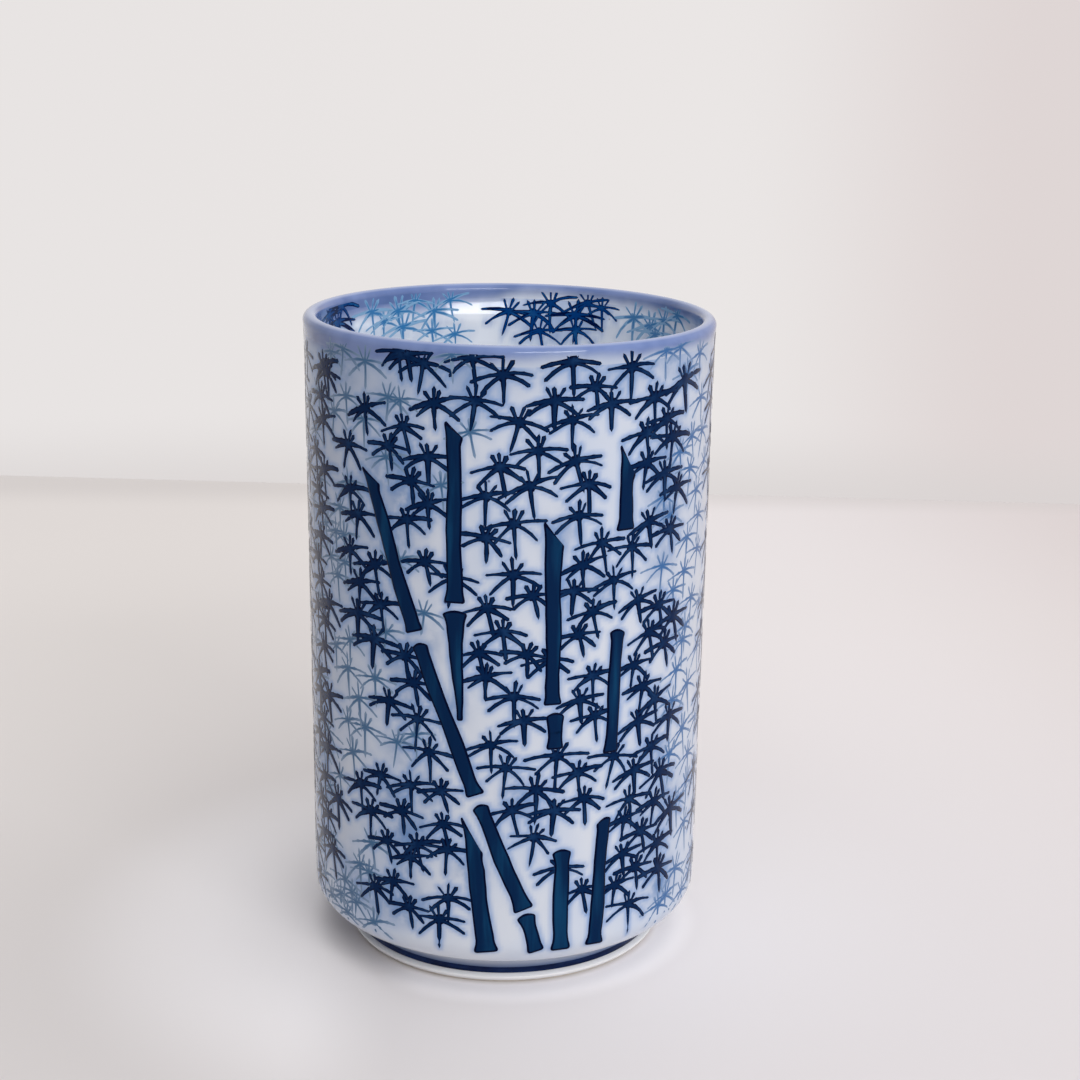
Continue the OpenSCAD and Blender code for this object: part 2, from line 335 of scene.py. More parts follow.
def turned_mesh(name, outline):
    """A closed outline turned about the cup's axis. A point on the axis becomes one pole."""
    points = []
    rings = []
    for radius, height in outline:
        if radius < 1e-6:
            rings.append([len(points)])
            points.append((0.0, 0.0, height * MM))
            continue
        rings.append(list(range(len(points), len(points) + TURN_STEPS)))
        for step in range(TURN_STEPS):
            turn = 2 * math.pi * step / TURN_STEPS
            points.append((
                radius * math.sin(turn) * MM,
                -radius * math.cos(turn) * MM,
                height * MM,
            ))
    faces = []
    for ring, after in zip(rings, rings[1:] + rings[:1]):
        if len(ring) == 1 and len(after) == 1:
            continue
        for step in range(TURN_STEPS):
            beside = (step + 1) % TURN_STEPS
            if len(ring) == 1:
                faces.append((ring[0], after[beside], after[step]))
            elif len(after) == 1:
                faces.append((ring[step], ring[beside], after[0]))
            else:
                faces.append((ring[step], ring[beside], after[beside], after[step]))
    mesh = bpy.data.meshes.new(name)
    mesh.from_pydata(points, [], faces)
    mesh.validate()
    return mesh


def wall_outline(depth, steps):
    """The outline from under the shoulder to the neck, at a depth under the finished face."""
    shoulder = arc(BASE_R - SHOULDER_R, WALL_FOOT_Z, SHOULDER_R - depth, -90, 0)
    neck = (NECK_R - depth, RIM_OUT_Z)
    return shoulder + straight(shoulder[-1], neck, steps) + [neck]


def lip_outline(depth):
    """The rounded lip from outside to inside."""
    return arc(MOUTH_R - LIP_ROUND, LIP_Z, LIP_ROUND - depth, 0, 180)


def inside_outline(depth, steps):
    """The inside from the blue lip down to the middle of the floor."""
    top = (inner_radius(RIM_IN_Z) + depth, RIM_IN_Z)
    corner = arc(INNER_BASE_R - INNER_CORNER_R, INNER_CORNER_Z, INNER_CORNER_R + depth, 0, -90)
    middle = (0.0, FLOOR_Z - depth)
    floor = straight(corner[-1], middle, FLOOR_STEPS)
    return [top] + straight(top, corner[0], steps) + corner + floor + [middle]


def add_turned_piece(name, outline, finish, node_name, sharp_degrees=32, blue=None):
    """A turned outline as a piece that stands for one CAD node. For every kind of blue, with its
    sources, its points store how blue the glaze is there."""
    mesh = turned_mesh(name, outline)
    for kind, sources in (blue or {}).items():
        store_shades(mesh, kind, blue_near(mesh, **sources))
    add_piece(name, mesh, finish, [node_name], sharp_degrees)


def make_glazed_wall(finish, blue):
    """The clear glaze on wall, shoulder and recess, with the blue haze around the strokes."""
    outline = [(ROOT_R - GLAZE, LINE_TOP_Z), (ROOT_R, LINE_TOP_Z), (ROOT_R, FOOT_H - RECESS_FILLET)]
    outline += arc(
        ROOT_R + RECESS_FILLET, FOOT_H - RECESS_FILLET, RECESS_FILLET, 180, 90, SHORT_STEPS
    )
    outline += wall_outline(0.0, WALL_STEPS)
    outline += list(reversed(wall_outline(GLAZE, HIDDEN_STEPS)))
    outline += [(ROOT_R - GLAZE, CLAY_UNDER_Z)]
    add_turned_piece("glazed_wall", outline, finish, "outer_glaze", blue=blue)


def make_blue_lip(finish):
    """The blue-tinted glaze over the lip."""
    outline = [(NECK_R, RIM_OUT_Z)]
    outline += straight((NECK_R, RIM_OUT_Z), (MOUTH_R, LIP_Z), SHORT_STEPS)
    outline += lip_outline(0.0)
    inner = (inner_radius(RIM_IN_Z), RIM_IN_Z)
    outline += straight((INNER_MOUTH_R, LIP_Z), inner, SHORT_STEPS)
    outline += [inner, (inner[0] + GLAZE, RIM_IN_Z)]
    outline += list(reversed(lip_outline(GLAZE)))
    outline += [(NECK_R - GLAZE, RIM_OUT_Z)]
    add_turned_piece("blue_lip", outline, finish, "rim_glaze")


def make_glazed_inside(finish, blue):
    """The clear glaze of the inside."""
    outline = inside_outline(0.0, INSIDE_STEPS)
    outline += list(reversed(inside_outline(GLAZE, HIDDEN_STEPS)))
    add_turned_piece("glazed_inside", outline, finish, "inner_glaze", blue=blue)


def make_navy_line(finish):
    """The dark blue line painted around the recess above the foot."""
    outline = [
        (ROOT_R - GLAZE, LINE_LOW_Z),
        (ROOT_R, LINE_LOW_Z),
        (ROOT_R + LINE_RELIEF, LINE_LOW_Z + 0.2),
        (ROOT_R + LINE_RELIEF, LINE_TOP_Z - 0.2),
        (ROOT_R, LINE_TOP_Z),
        (ROOT_R - GLAZE, LINE_TOP_Z),
    ]
    add_turned_piece("navy_line", outline, finish, "foot_line")


def make_glazed_bead(finish):
    """The clear glaze over the rounded bead of the foot."""
    outline = [
        (ROOT_R - GLAZE, LINE_LOW_Z),
        (ROOT_R, LINE_LOW_Z),
        (ROOT_R + 0.25, LINE_LOW_Z - 0.06),
        (BEAD_R - 0.22, BEAD_Z + 0.08),
        (BEAD_R - 0.06, BEAD_Z - 0.02),
        (BEAD_R, BEAD_Z - 0.16),
        (BEAD_R - 0.08, BEAD_Z - 0.36),
        (FOOT_R + 0.08, BARE_Z + 0.12),
        (FOOT_R - 0.04, BARE_Z),
        (FOOT_R - GLAZE, BARE_Z),
        (BEAD_R - GLAZE, BEAD_Z - GLAZE),
        (ROOT_R - GLAZE, LINE_LOW_Z - GLAZE),
    ]
    add_turned_piece("glazed_bead", outline, finish, "foot_glaze", sharp_degrees=60)


def make_glazed_hollow(finish):
    """The clear glaze in the hollow under the cup."""
    fillet_r = WELL_R - HOLLOW_FILLET
    outline = [(0.0, FOOT_H), (fillet_r, FOOT_H)]
    outline += arc(fillet_r, FOOT_H - HOLLOW_FILLET, HOLLOW_FILLET, 90, 0, 6)[1:]
    outline += [
        (WELL_R, BARE_Z + 0.15),
        (WELL_R + 0.1, BARE_Z),
        (WELL_R + GLAZE, BARE_Z),
        (WELL_R + GLAZE, CLAY_UNDER_Z),
        (0.0, CLAY_UNDER_Z),
    ]
    outline.reverse()
    add_turned_piece("glazed_hollow", outline, finish, "well_glaze")


def make_clay_foot(finish):
    """The foot ring, whose bare clay shows where the cup stands."""
    clay_foot_r = FOOT_R - GLAZE
    clay_well_r = WELL_R + GLAZE
    bevel_middle = 0.3 * FOOT_BEVEL
    outline = [
        (clay_well_r, CLAY_UNDER_Z),
        (clay_well_r, FOOT_BEVEL),
        (clay_well_r + bevel_middle, bevel_middle),
        (clay_well_r + FOOT_BEVEL, 0.0),
        (clay_foot_r - FOOT_BEVEL, 0.0),
        (clay_foot_r - bevel_middle, bevel_middle),
        (clay_foot_r, FOOT_BEVEL),
        (clay_foot_r, BARE_Z),
        (BEAD_R - GLAZE, BEAD_Z - GLAZE),
        (ROOT_R - GLAZE, LINE_LOW_Z - GLAZE),
        (ROOT_R - GLAZE, CLAY_UNDER_Z),
    ]
    add_turned_piece("clay_foot", outline, finish, "foot_ring", sharp_degrees=50)


# Bamboo culms

# Where a culm's cross lines stand near its ends, in millimetres, and its points across, as shares
# of its half width
CULM_END_STATIONS = [0.0, 0.06, 0.16, 0.32, 0.55, 0.9, 1.4, 2.1, 3.0]
CULM_END = 3.0
CULM_SHARES = [-1.0, -0.94, -0.84, -0.68, -0.36, 0.0, 0.36, 0.68, 0.84, 0.94, 1.0]
# How far a culm's rim is sunk in the glaze, how much a blunt head bulges, and a corner's rounding
CULM_SINK = 0.02
CULM_DOME = 0.45
CULM_CORNER = 0.5
# An upper end that slopes less than this is blunt
BLUNT_SLOPE = 0.3
# From how far to how far inside its rim a culm rises to its full relief, and its dark edge ends
CULM_RISE = (-0.05, 0.38)
CULM_DARK_EDGE = (0.12, 0.62)
# The slope of an upper end sets in over this many times its rise, and these millimetres more
HEAD_RISES = 2.2
HEAD_MORE = 2.5
# Millimetres between the cross lines in a culm's middle
CULM_STEP = 2.0
# Waves in a culm's width, as shares of it, and the one in its middle line, in millimetres: size,
# pace along the culm, and how much the culm's own phase counts
CULM_SWELLS = [(0.045, 0.55, 1), (0.025, 1.7, 2)]
CULM_STRAY = (0.10, 0.38, 3)


def culm_placement(row):
    """Middle turn, sideways half travel, lean and length of a row of the grove."""
    middle = math.pi * (row[0] + row[2])
    swing = BASE_R * math.sin(math.pi * (row[2] - row[0]))
    rise = CUP_H * (row[3] - row[1])
    lean = math.atan2(2 * swing, rise)
    return middle, swing, lean, rise / math.cos(lean)


def culm_on_wall(row, across, along, lift):
    """The point of a culm that lies across its axis and along it, lifted off the wall."""
    middle, swing, lean = culm_placement(row)[:3]
    side = -swing + across * math.cos(lean) + along * math.sin(lean)
    height = CUP_H * row[1] - across * math.sin(lean) + along * math.cos(lean)
    radius = wall_radius(height)
    turn = middle + math.asin(side / radius)
    reach = (radius + lift) * MM
    return (reach * math.sin(turn), -reach * math.cos(turn), height * MM)


def culm_half_width(row, along, length):
    """Half of a culm's width at a distance along it, with flared ends and rounded corners."""
    low = CULM_W * row[4] / 2
    top = CULM_W * row[5] / 2
    width = low + (top - low) * along / length
    low_near = 1.0 - smooth_share(along, 0.0, CULM_FLARE_LEN)
    top_near = smooth_share(along, length - CULM_FLARE_LEN, length)
    width += CULM_FLARE * (row[4] * low_near + row[5] * top_near)
    corner = min(CULM_CORNER, width * 0.7)
    to_end = min(along, length - along)
    if to_end < corner:
        width -= corner - math.sqrt(max(corner ** 2 - (corner - to_end) ** 2, 0.0))
    return width


def culm_wobble(row, along, length):
    """How much a brushed culm swells and how far its middle strays at a distance along it."""
    phase = 40 * row[0] + 13 * row[1]

    def wave(size, pace, share):
        return size * math.sin(pace * along + share * phase)

    swell = sum((wave(*sizes) for sizes in CULM_SWELLS), 1.0)
    held = min(1.0, along / CULM_END, (length - along) / CULM_END)
    return swell, wave(*CULM_STRAY) * held


def add_culm(row, points, faces, edges):
    """One length of culm as a low raised stroke with soft sides."""
    length = culm_placement(row)[3]
    between = length - 2 * CULM_END
    middle_steps = max(2, round(between / CULM_STEP))
    stations = CULM_END_STATIONS + [
        CULM_END + between * step / middle_steps for step in range(1, middle_steps)
    ] + [length - gap for gap in reversed(CULM_END_STATIONS)]
    rise = row[6] * CULM_W * row[5] / 2
    dome = CULM_DOME if row[6] < BLUNT_SLOPE else 0.0
    first = len(points)
    for along in stations:
        swell, drift = culm_wobble(row, along, length)
        half = culm_half_width(row, along, length) * swell
        head = length - HEAD_RISES * abs(rise) - HEAD_MORE
        top_near = float(smooth_share(along, head, length))
        for share in CULM_SHARES:
            slant = -rise * share * top_near
            crown = dome * (1.0 - share * share) * top_near
            inward = min(half * (1.0 - abs(share)), along, length - along)
            height = (CULM_RELIEF + CULM_SINK) * float(smooth_share(inward, *CULM_RISE))
            across = half * share + drift
            points.append(culm_on_wall(row, across, along + slant + crown, height - CULM_SINK))
            edges.append(1.0 - float(smooth_share(inward, *CULM_DARK_EDGE)))
    wide = len(CULM_SHARES)
    for station in range(len(stations) - 1):
        low = first + station * wide
        for column in range(wide - 1):
            corner = low + column
            faces.append((corner, corner + 1, corner + wide + 1, corner + wide))
        if 0 < station < len(stations) - 2:
            faces.append((low, low + wide, low + 2 * wide - 1, low + wide - 1))
    second = first + wide
    faces.append([first + column for column in reversed(range(wide))] + [second, second + wide - 1])
    last = first + (len(stations) - 1) * wide
    faces.append([last + column for column in range(wide)] + [last - 1, last - wide])


def make_culms(finish):
    """All lengths of bamboo culm around the wall."""
    points = []
    faces = []
    edges = []
    for row in FRONT_GROVE + RIGHT_GROVE + LEFT_GROVE:
        add_culm(row, points, faces, edges)
    mesh = bpy.data.meshes.new("culm_strokes")
    mesh.from_pydata(points, [], faces)
    store_shades(mesh, "edge", edges)
    return add_piece("culm_strokes", mesh, finish, ["bamboo_culms"], 50)


# Leaf sprays

# A spray's strokes for a half width of 1: start, bend and tip, half width at the start and near
# the tip, and how far along its points stand
LEAF_STATIONS = (0.0, 0.33, 0.66, 0.94)
FINGER_STATIONS = (0.0, 0.8)
STEM_STATIONS = (0.0, 0.3, 0.6, 0.88)
SPRAY_STROKES = [
    ((-0.10, 0.06), (-0.20, 0.27), (-0.33, 0.46), 0.048, 0.078, FINGER_STATIONS),
    ((0.00, 0.08), (0.00, 0.30), (0.02, 0.60), 0.048, 0.082, FINGER_STATIONS),
    ((0.10, 0.06), (0.19, 0.27), (0.32, 0.48), 0.048, 0.078, FINGER_STATIONS),
    ((-0.05, 0.03), (-0.50, 0.02), (-1.02, -0.16), 0.098, 0.054, LEAF_STATIONS),
    ((0.05, 0.03), (0.50, 0.13), (1.02, 0.02), 0.098, 0.058, LEAF_STATIONS),
    ((-0.04, -0.03), (-0.44, -0.22), (-0.78, -0.66), 0.094, 0.054, LEAF_STATIONS),
    ((0.04, -0.03), (0.50, -0.18), (0.86, -0.58), 0.094, 0.058, LEAF_STATIONS),
    ((0.00, -0.04), (0.02, -0.50), (0.05, -1.14), 0.092, 0.056, STEM_STATIONS),
]
SPRAY_HEART = 0.235
# What chance changes in a spray: its strokes' turns in degrees, their lengths, the shift of their
# bends, their widths as a whole and at each point, and how far the heart's corners reach
LEAF_SWING = 9
LEAF_LENGTHS = (0.86, 1.10)
BEND_SHIFT = 0.06
LEAF_WEIGHTS = (0.85, 1.15)
LEAF_SWELLS = (0.78, 1.22)
HEART_LUMPS = (0.8, 1.2)
HEART_CORNERS = 8
SPRAY_KINDS = 9
# Small sprays, and those towards the sides of the photograph, have broader strokes
BROAD_KINDS = 5
BROAD_TURN = math.radians(38)
SMALL_SPRAY = 4.2
# How far around the photograph shows the wall well to either side, and on the left the turn from
# which strewn sprays fill it in
SEEN_TURN = math.radians(74)
SEEN_TURN_LEFT = math.radians(62)
# The spread of the sprays' tilt in degrees
SPRAY_TILT = 6
SPRAY_RELIEF = 0.055
PALE_RELIEF = 0.02
# The lengths that the sprays' node group takes
STROKE_SIZES = (
    "Roll Radius", "Low Radius", "Low Height", "Top Radius", "Top Height", "Corner Radius",
    "Lip Flare", "Lip Height", "Widest Radius", "Relief",
)
# The print ends just under the rounding of the lip, and where the shoulder turns under
PRINT_TOP_Z = 103.8
PRINT_LOW_Z = 7.9


def add_stroke(start, bend, tip, start_half, tip_half, stations, chance, points, faces, marks):
    """A leaf or stem as a low lens: a raised middle line between two edges, ending in a point."""
    first = len(points)
    for share in stations:
        x = (1 - share) ** 2 * start[0] + 2 * share * (1 - share) * bend[0] + share ** 2 * tip[0]
        y = (1 - share) ** 2 * start[1] + 2 * share * (1 - share) * bend[1] + share ** 2 * tip[1]
        way_x = (1 - share) * (bend[0] - start[0]) + share * (tip[0] - bend[0])
        way_y = (1 - share) * (bend[1] - start[1]) + share * (tip[1] - bend[1])
        size = math.hypot(way_x, way_y)
        half = (start_half + (tip_half - start_half) * share) * chance.uniform(*LEAF_SWELLS)
        side = (-way_y / size * half, way_x / size * half)
        points.append((x + side[0], y + side[1], 0.0))
        points.append((x, y, 1.0))
        points.append((x - side[0], y - side[1], 0.0))
        marks.extend(((1.0, share), (0.0, share), (1.0, share)))
    points.append((tip[0], tip[1], 0.0))
    marks.append((1.0, 1.0))
    for station in range(len(stations) - 1):
        low = first + 3 * station
        faces.append((low, low + 1, low + 4, low + 3))
        faces.append((low + 1, low + 2, low + 5, low + 4))
    end = first + 3 * len(stations)
    faces.append((end - 3, end - 2, end))
    faces.append((end - 2, end - 1, end))
    low_side = [first + 3 * station for station in range(len(stations))]
    high_side = [low + 2 for low in reversed(low_side)]
    faces.append(low_side + [end] + high_side)
    faces.append((first, first + 2, first + 1))


def add_heart(radius, chance, points, faces, marks):
    """The lumpy middle where a spray's leaves meet."""
    first = len(points)
    for corner in range(HEART_CORNERS):
        turn = 2 * math.pi * (corner + 0.5) / HEART_CORNERS
        reach = radius * chance.uniform(*HEART_LUMPS)
        points.append((reach * math.cos(turn), reach * 0.85 * math.sin(turn), 0.0))
        marks.append((0.85, 0.0))
    points.append((0.0, 0.0, 1.3))
    marks.append((0.0, 0.0))
    top = first + HEART_CORNERS
    for corner in range(HEART_CORNERS):
        faces.append((first + corner, first + (corner + 1) % HEART_CORNERS, top))
    faces.append(list(reversed(range(first, top))))


def spray_shapes(name, slimness, broad, seed):
    """A few sprays, each with its leaves a little differently placed, in a collection."""
    chance = random.Random(seed)
    shapes = bpy.data.collections.new(name)
    for kind in range(SPRAY_KINDS + BROAD_KINDS):
        thickness = slimness if kind < SPRAY_KINDS else broad
        points = []
        faces = []
        marks = []
        for start, bend, tip, start_half, tip_half, stations in SPRAY_STROKES:
            swing = math.radians(chance.uniform(-LEAF_SWING, LEAF_SWING))
            reach = chance.uniform(*LEAF_LENGTHS)
            bend = [middle + chance.uniform(-BEND_SHIFT, BEND_SHIFT) for middle in bend]
            turned = []
            for x, y in (bend, tip):
                turned.append((
                    reach * (x * math.cos(swing) - y * math.sin(swing)),
                    reach * (x * math.sin(swing) + y * math.cos(swing)),
                ))
            weight = thickness * chance.uniform(*LEAF_WEIGHTS)
            add_stroke(start, turned[0], turned[1], start_half * weight, tip_half * weight,
                       stations, chance, points, faces, marks)
        add_heart(SPRAY_HEART * (0.35 + 0.65 * thickness), chance, points, faces, marks)
        mesh = bpy.data.meshes.new(f"{name}_{kind:02d}")
        mesh.from_pydata(points, [], faces)
        store_shades(mesh, "edge", [edge for edge, along in marks])
        store_shades(mesh, "fade", [along for edge, along in marks])
        shapes.objects.link(bpy.data.objects.new(f"{name}_{kind:02d}", mesh))
    return shapes


def put(tree, socket, value):
    """Sets a node's input to a value, or links another node's socket to it."""
    if isinstance(value, bpy.types.NodeSocket):
        tree.links.new(value, socket)
    else:
        socket.default_value = value


def add_node(tree, kind, inputs, **settings):
    """A new node with its settings and its inputs, which are given by name or by number."""
    node = tree.nodes.new(kind)
    for name, value in settings.items():
        setattr(node, name, value)
    for key, value in inputs.items():
        put(tree, node.inputs[key], value)
    return node


def combine(tree, operation, *values):
    """One or two values in one Math node."""
    made = add_node(tree, "ShaderNodeMath", dict(enumerate(values)), operation=operation)
    return made.outputs[0]


def stored_value(tree, attribute):
    """A number stored on the points that Geometry Nodes work on."""
    inputs = {"Name": attribute}
    read = add_node(tree, "GeometryNodeInputNamedAttribute", inputs, data_type="FLOAT")
    return read.outputs["Attribute"]


def set_out_sprays(tree, given):
    """A spray on every point, turned and sized as the point says, as real geometry."""
    shapes = add_node(tree, "GeometryNodeCollectionInfo", {
        "Collection": given["Shapes"],
        "Separate Children": True,
        "Reset Children": True,
    }, transform_space="ORIGINAL")
    tilt = add_node(tree, "ShaderNodeCombineXYZ", {"Z": stored_value(tree, "tilt")})
    turn = add_node(tree, "FunctionNodeEulerToRotation", {0: tilt.outputs[0]})
    size = stored_value(tree, "span")
    span = add_node(tree, "ShaderNodeCombineXYZ", {"X": size, "Y": size, "Z": given["Relief"]})
    set_out = add_node(tree, "GeometryNodeInstanceOnPoints", {
        "Points": given["Geometry"],
        "Instance": shapes.outputs["Instances"],
        "Pick Instance": True,
        "Instance Index": stored_value(tree, "kind"),
        "Rotation": turn.outputs[0],
        "Scale": span.outputs[0],
    })
    inputs = {"Geometry": set_out.outputs["Instances"]}
    return add_node(tree, "GeometryNodeRealizeInstances", inputs).outputs["Geometry"]


def wall_face(tree, given, height):
    """The wall's radius at a height, with its flare at the lip and its rounding at the foot."""
    def calculate(operation, *values):
        return combine(tree, operation, *values)

    above_low = calculate("SUBTRACT", height, given["Low Height"])
    span = calculate("SUBTRACT", given["Top Height"], given["Low Height"])
    growth = calculate("SUBTRACT", given["Top Radius"], given["Low Radius"])
    grown = calculate("MULTIPLY", growth, calculate("DIVIDE", above_low, span))
    wall = calculate("ADD", given["Low Radius"], grown)
    over_neck = calculate("SUBTRACT", height, given["Top Height"])
    lip = calculate("SUBTRACT", given["Lip Height"], given["Top Height"])
    flare_share = calculate("MAXIMUM", calculate("DIVIDE", over_neck, lip), 0.0)
    flare = calculate("MULTIPLY", given["Lip Flare"], calculate("MINIMUM", flare_share, 1.0))
    corner = given["Corner Radius"]
    drop = calculate("MAXIMUM", calculate("SUBTRACT", given["Low Height"], height), 0.0)
    drop_square = calculate("MULTIPLY", drop, drop)
    square = calculate("SUBTRACT", calculate("MULTIPLY", corner, corner), drop_square)
    reach = calculate("SQRT", calculate("MAXIMUM", square, 0.0))
    inset = calculate("SUBTRACT", corner, reach)
    return calculate("SUBTRACT", calculate("ADD", wall, flare), inset)


def strokes_on_wall_tree():
    """Geometry Nodes that set a spray on every point of the unrolled wall and roll it up again."""
    tree = bpy.data.node_groups.new("strokes_on_wall", "GeometryNodeTree")
    takes = {"Geometry": "Geometry", "Shapes": "Collection", "Finish": "Material"}
    takes.update((name, "Float") for name in STROKE_SIZES)
    for name, kind in takes.items():
        tree.interface.new_socket(name, in_out="INPUT", socket_type="NodeSocket" + kind)
    tree.interface.new_socket("Geometry", in_out="OUTPUT", socket_type="NodeSocketGeometry")
    given = tree.nodes.new("NodeGroupInput").outputs
    sprays = set_out_sprays(tree, given)

    place = tree.nodes.new("GeometryNodeInputPosition")
    flat = add_node(tree, "ShaderNodeSeparateXYZ", {0: place.outputs[0]}).outputs
    angle = combine(tree, "DIVIDE", flat["X"], given["Roll Radius"])
    raised = combine(tree, "ADD", wall_face(tree, given, flat["Y"]), flat["Z"])
    radius = combine(tree, "MINIMUM", raised, given["Widest Radius"])
    to_back = combine(tree, "MULTIPLY", radius, combine(tree, "COSINE", angle))
    rolled = add_node(tree, "ShaderNodeCombineXYZ", {
        "X": combine(tree, "MULTIPLY", radius, combine(tree, "SINE", angle)),
        "Y": combine(tree, "MULTIPLY", to_back, -1.0),
        "Z": flat["Y"],
    })
    inputs = {"Geometry": sprays, "Position": rolled.outputs[0]}
    roll_up = add_node(tree, "GeometryNodeSetPosition", inputs)
    inputs = {"Geometry": roll_up.outputs["Geometry"], "Material": given["Finish"]}
    painted = add_node(tree, "GeometryNodeSetMaterial", inputs)
    add_node(tree, "NodeGroupOutput", {"Geometry": painted.outputs["Geometry"]})
    return tree


def trim_print(mesh):
    """Cuts the strokes off below the lip's rounding and under the shoulder, and closes the cuts."""
    work = bmesh.new()
    work.from_mesh(mesh)
    for height, way in ((PRINT_TOP_Z, 1.0), (PRINT_LOW_Z, -1.0)):
        every = work.verts[:] + work.edges[:] + work.faces[:]
        cut = bmesh.ops.bisect_plane(
            work, geom=every, plane_co=(0.0, 0.0, height * MM), plane_no=(0.0, 0.0, way),
            clear_outer=True
        )
        rims = [part for part in cut["geom_cut"] if isinstance(part, bmesh.types.BMEdge)]
        bmesh.ops.holes_fill(work, edges=rims)
    work.to_mesh(mesh)
    work.free()


def choose_kind(turn, half, chance):
    """Half way past the number of a kind of spray, so that it rounds down to that number."""
    if BROAD_TURN < abs(turn) < SEEN_TURN or (half < SMALL_SPRAY and abs(turn) < SEEN_TURN):
        return SPRAY_KINDS + chance.randrange(BROAD_KINDS) + 0.5
    return chance.randrange(SPRAY_KINDS) + 0.5


def make_sprays(name, tree, sprays, shapes, finish, sizes, relief, seed):
    """Sprays given as (turn, height, half width), rolled onto a wall of the cup."""
    chance = random.Random(seed)
    roll = sizes["Roll Radius"]
    mesh = bpy.data.meshes.new(name + "_spots")
    mesh.from_pydata([(turn * roll * MM, height * MM, 0.0) for turn, height, half in sprays], [], [])
    store_shades(mesh, "kind", [choose_kind(turn, half, chance) for turn, height, half in sprays])
    store_shades(mesh, "tilt", [math.radians(chance.gauss(0, SPRAY_TILT)) for spray in sprays])
    store_shades(mesh, "span", [half * MM for turn, height, half in sprays])
    spots = bpy.data.objects.new(name + "_spots", mesh)
    bpy.context.scene.collection.objects.link(spots)
    modifier = spots.modifiers.new("strokes", "NODES")
    modifier.node_group = tree
    values = {key: size * MM for key, size in sizes.items()}
    values["Relief"] = relief * MM
    values["Shapes"] = shapes
    values["Finish"] = finish
    for item in tree.interface.items_tree:
        if item.item_type == "SOCKET" and item.in_out == "INPUT" and item.name in values:
            modifier[item.identifier] = values[item.name]
    spots.update_tag()
    graph = bpy.context.evaluated_depsgraph_get()
    solid = bpy.data.meshes.new_from_object(
        spots.evaluated_get(graph), preserve_all_data_layers=True, depsgraph=graph
    )
    spots.modifiers.remove(modifier)
    bpy.data.objects.remove(spots)
    solid.name = name
    trim_print(solid)
    return add_piece(name, solid, finish, [], 60)


# Where the sprays stand

# Radius and height of each wall's lower end and upper end
OUTSIDE = (BASE_R, WALL_FOOT_Z, NECK_R, RIM_OUT_Z)
INSIDE = (INNER_BASE_R, INNER_CORNER_Z, INNER_MOUTH_R, LIP_Z)
# The least half widths of the sprays read outside and inside, and the greatest of any spray
SPRAY_SMALLEST = 3.8
INSIDE_SMALLEST = 3.7
SPRAY_LARGEST = 5.0
# The longest leaves reach a little beyond the half width that was read, more so towards the sides
SPRAY_SPREAD = 1.03
SIDE_SPREAD = 1.1
# Tries to place each strewn spray, and the level of the grove's waves below which it stays clear
TRIES_EACH = 60
CLEARING = -0.8
# A strewn spray keeps this many times as far from its neighbours sideways as upwards
SIDEWAYS_ROOM = 1.25
# How far beyond its ends a culm keeps sprays away, as a share of its height
END_ROOM = 0.06
# The blue around a spray lies lower than its middle, by this share of its half width
BLUE_DROP = 0.15
# How many times its reach a stroke's halo is followed
HALO_CUT = 2.5


def sprays_from_pixels(rows, wall, far_side):
    """The sprays of a pixel table as (turn, height, half width in millimetres)."""
    sprays = []
    camera_way = math.atan2(CAMERA_SPOT[0], -CAMERA_SPOT[1])
    smallest = INSIDE_SMALLEST if far_side else SPRAY_SMALLEST
    for x, y, half_px in rows:
        turn, height, scale = spot_on_wall((x, y), *wall, far_side)
        facing = max(abs(math.cos(turn - camera_way)), 0.2)
        half = max(half_px * scale / facing * SPRAY_SPREAD, smallest)
        if abs(turn) > BROAD_TURN and not far_side:
            half *= SIDE_SPREAD
        half = min(half, SPRAY_LARGEST)
        sprays.append((turn, height, half))
    return sprays


def near_culm(turn, height, room):
    """Whether a spot of the wall lies on a culm or within some room of one."""
    for row in FRONT_GROVE + RIGHT_GROVE + LEFT_GROVE:
        share = (height / CUP_H - row[1]) / (row[3] - row[1])
        if -END_ROOM < share < 1.0 + END_ROOM:
            axis = 2 * math.pi * (row[0] + (row[2] - row[0]) * share)
            gap = math.remainder(turn - axis, 2 * math.pi) * BASE_R
            if abs(gap) < CULM_W / 2 + room:
                return True
    return False


def scattered_sprays(seed, count, heights, turns, taken, apart, culm_room, radius, smallest):
    """Sprays strewn by chance over a range of heights and turns, clear of the sprays taken."""
    chance = random.Random(seed)
    sprays = []
    for attempt in range(count * TRIES_EACH):
        if len(sprays) == count:
            break
        turn = chance.uniform(*turns)
        height = chance.uniform(*heights)
        thicket = math.sin(3 * turn + 1.3) * math.sin(height / 13.0 + 2 * turn)
        if thicket < CLEARING or near_culm(turn, height, culm_room):
            continue
        crowded = False
        for other_turn, other_height, other_half in taken + sprays:
            side = math.remainder(turn - other_turn, 2 * math.pi) * radius
            if math.hypot(side / SIDEWAYS_ROOM, height - other_height) < apart:
                crowded = True
                break
        if not crowded:
            sprays.append((turn, height, chance.uniform(smallest, SPRAY_LARGEST)))
    return sprays


def gap_to(turn, other_turn, radius):
    """Distance around the cup from one turn to another, for arrays of turns."""
    return (np.remainder(turn - other_turn + math.pi, 2 * math.pi) - math.pi) * radius


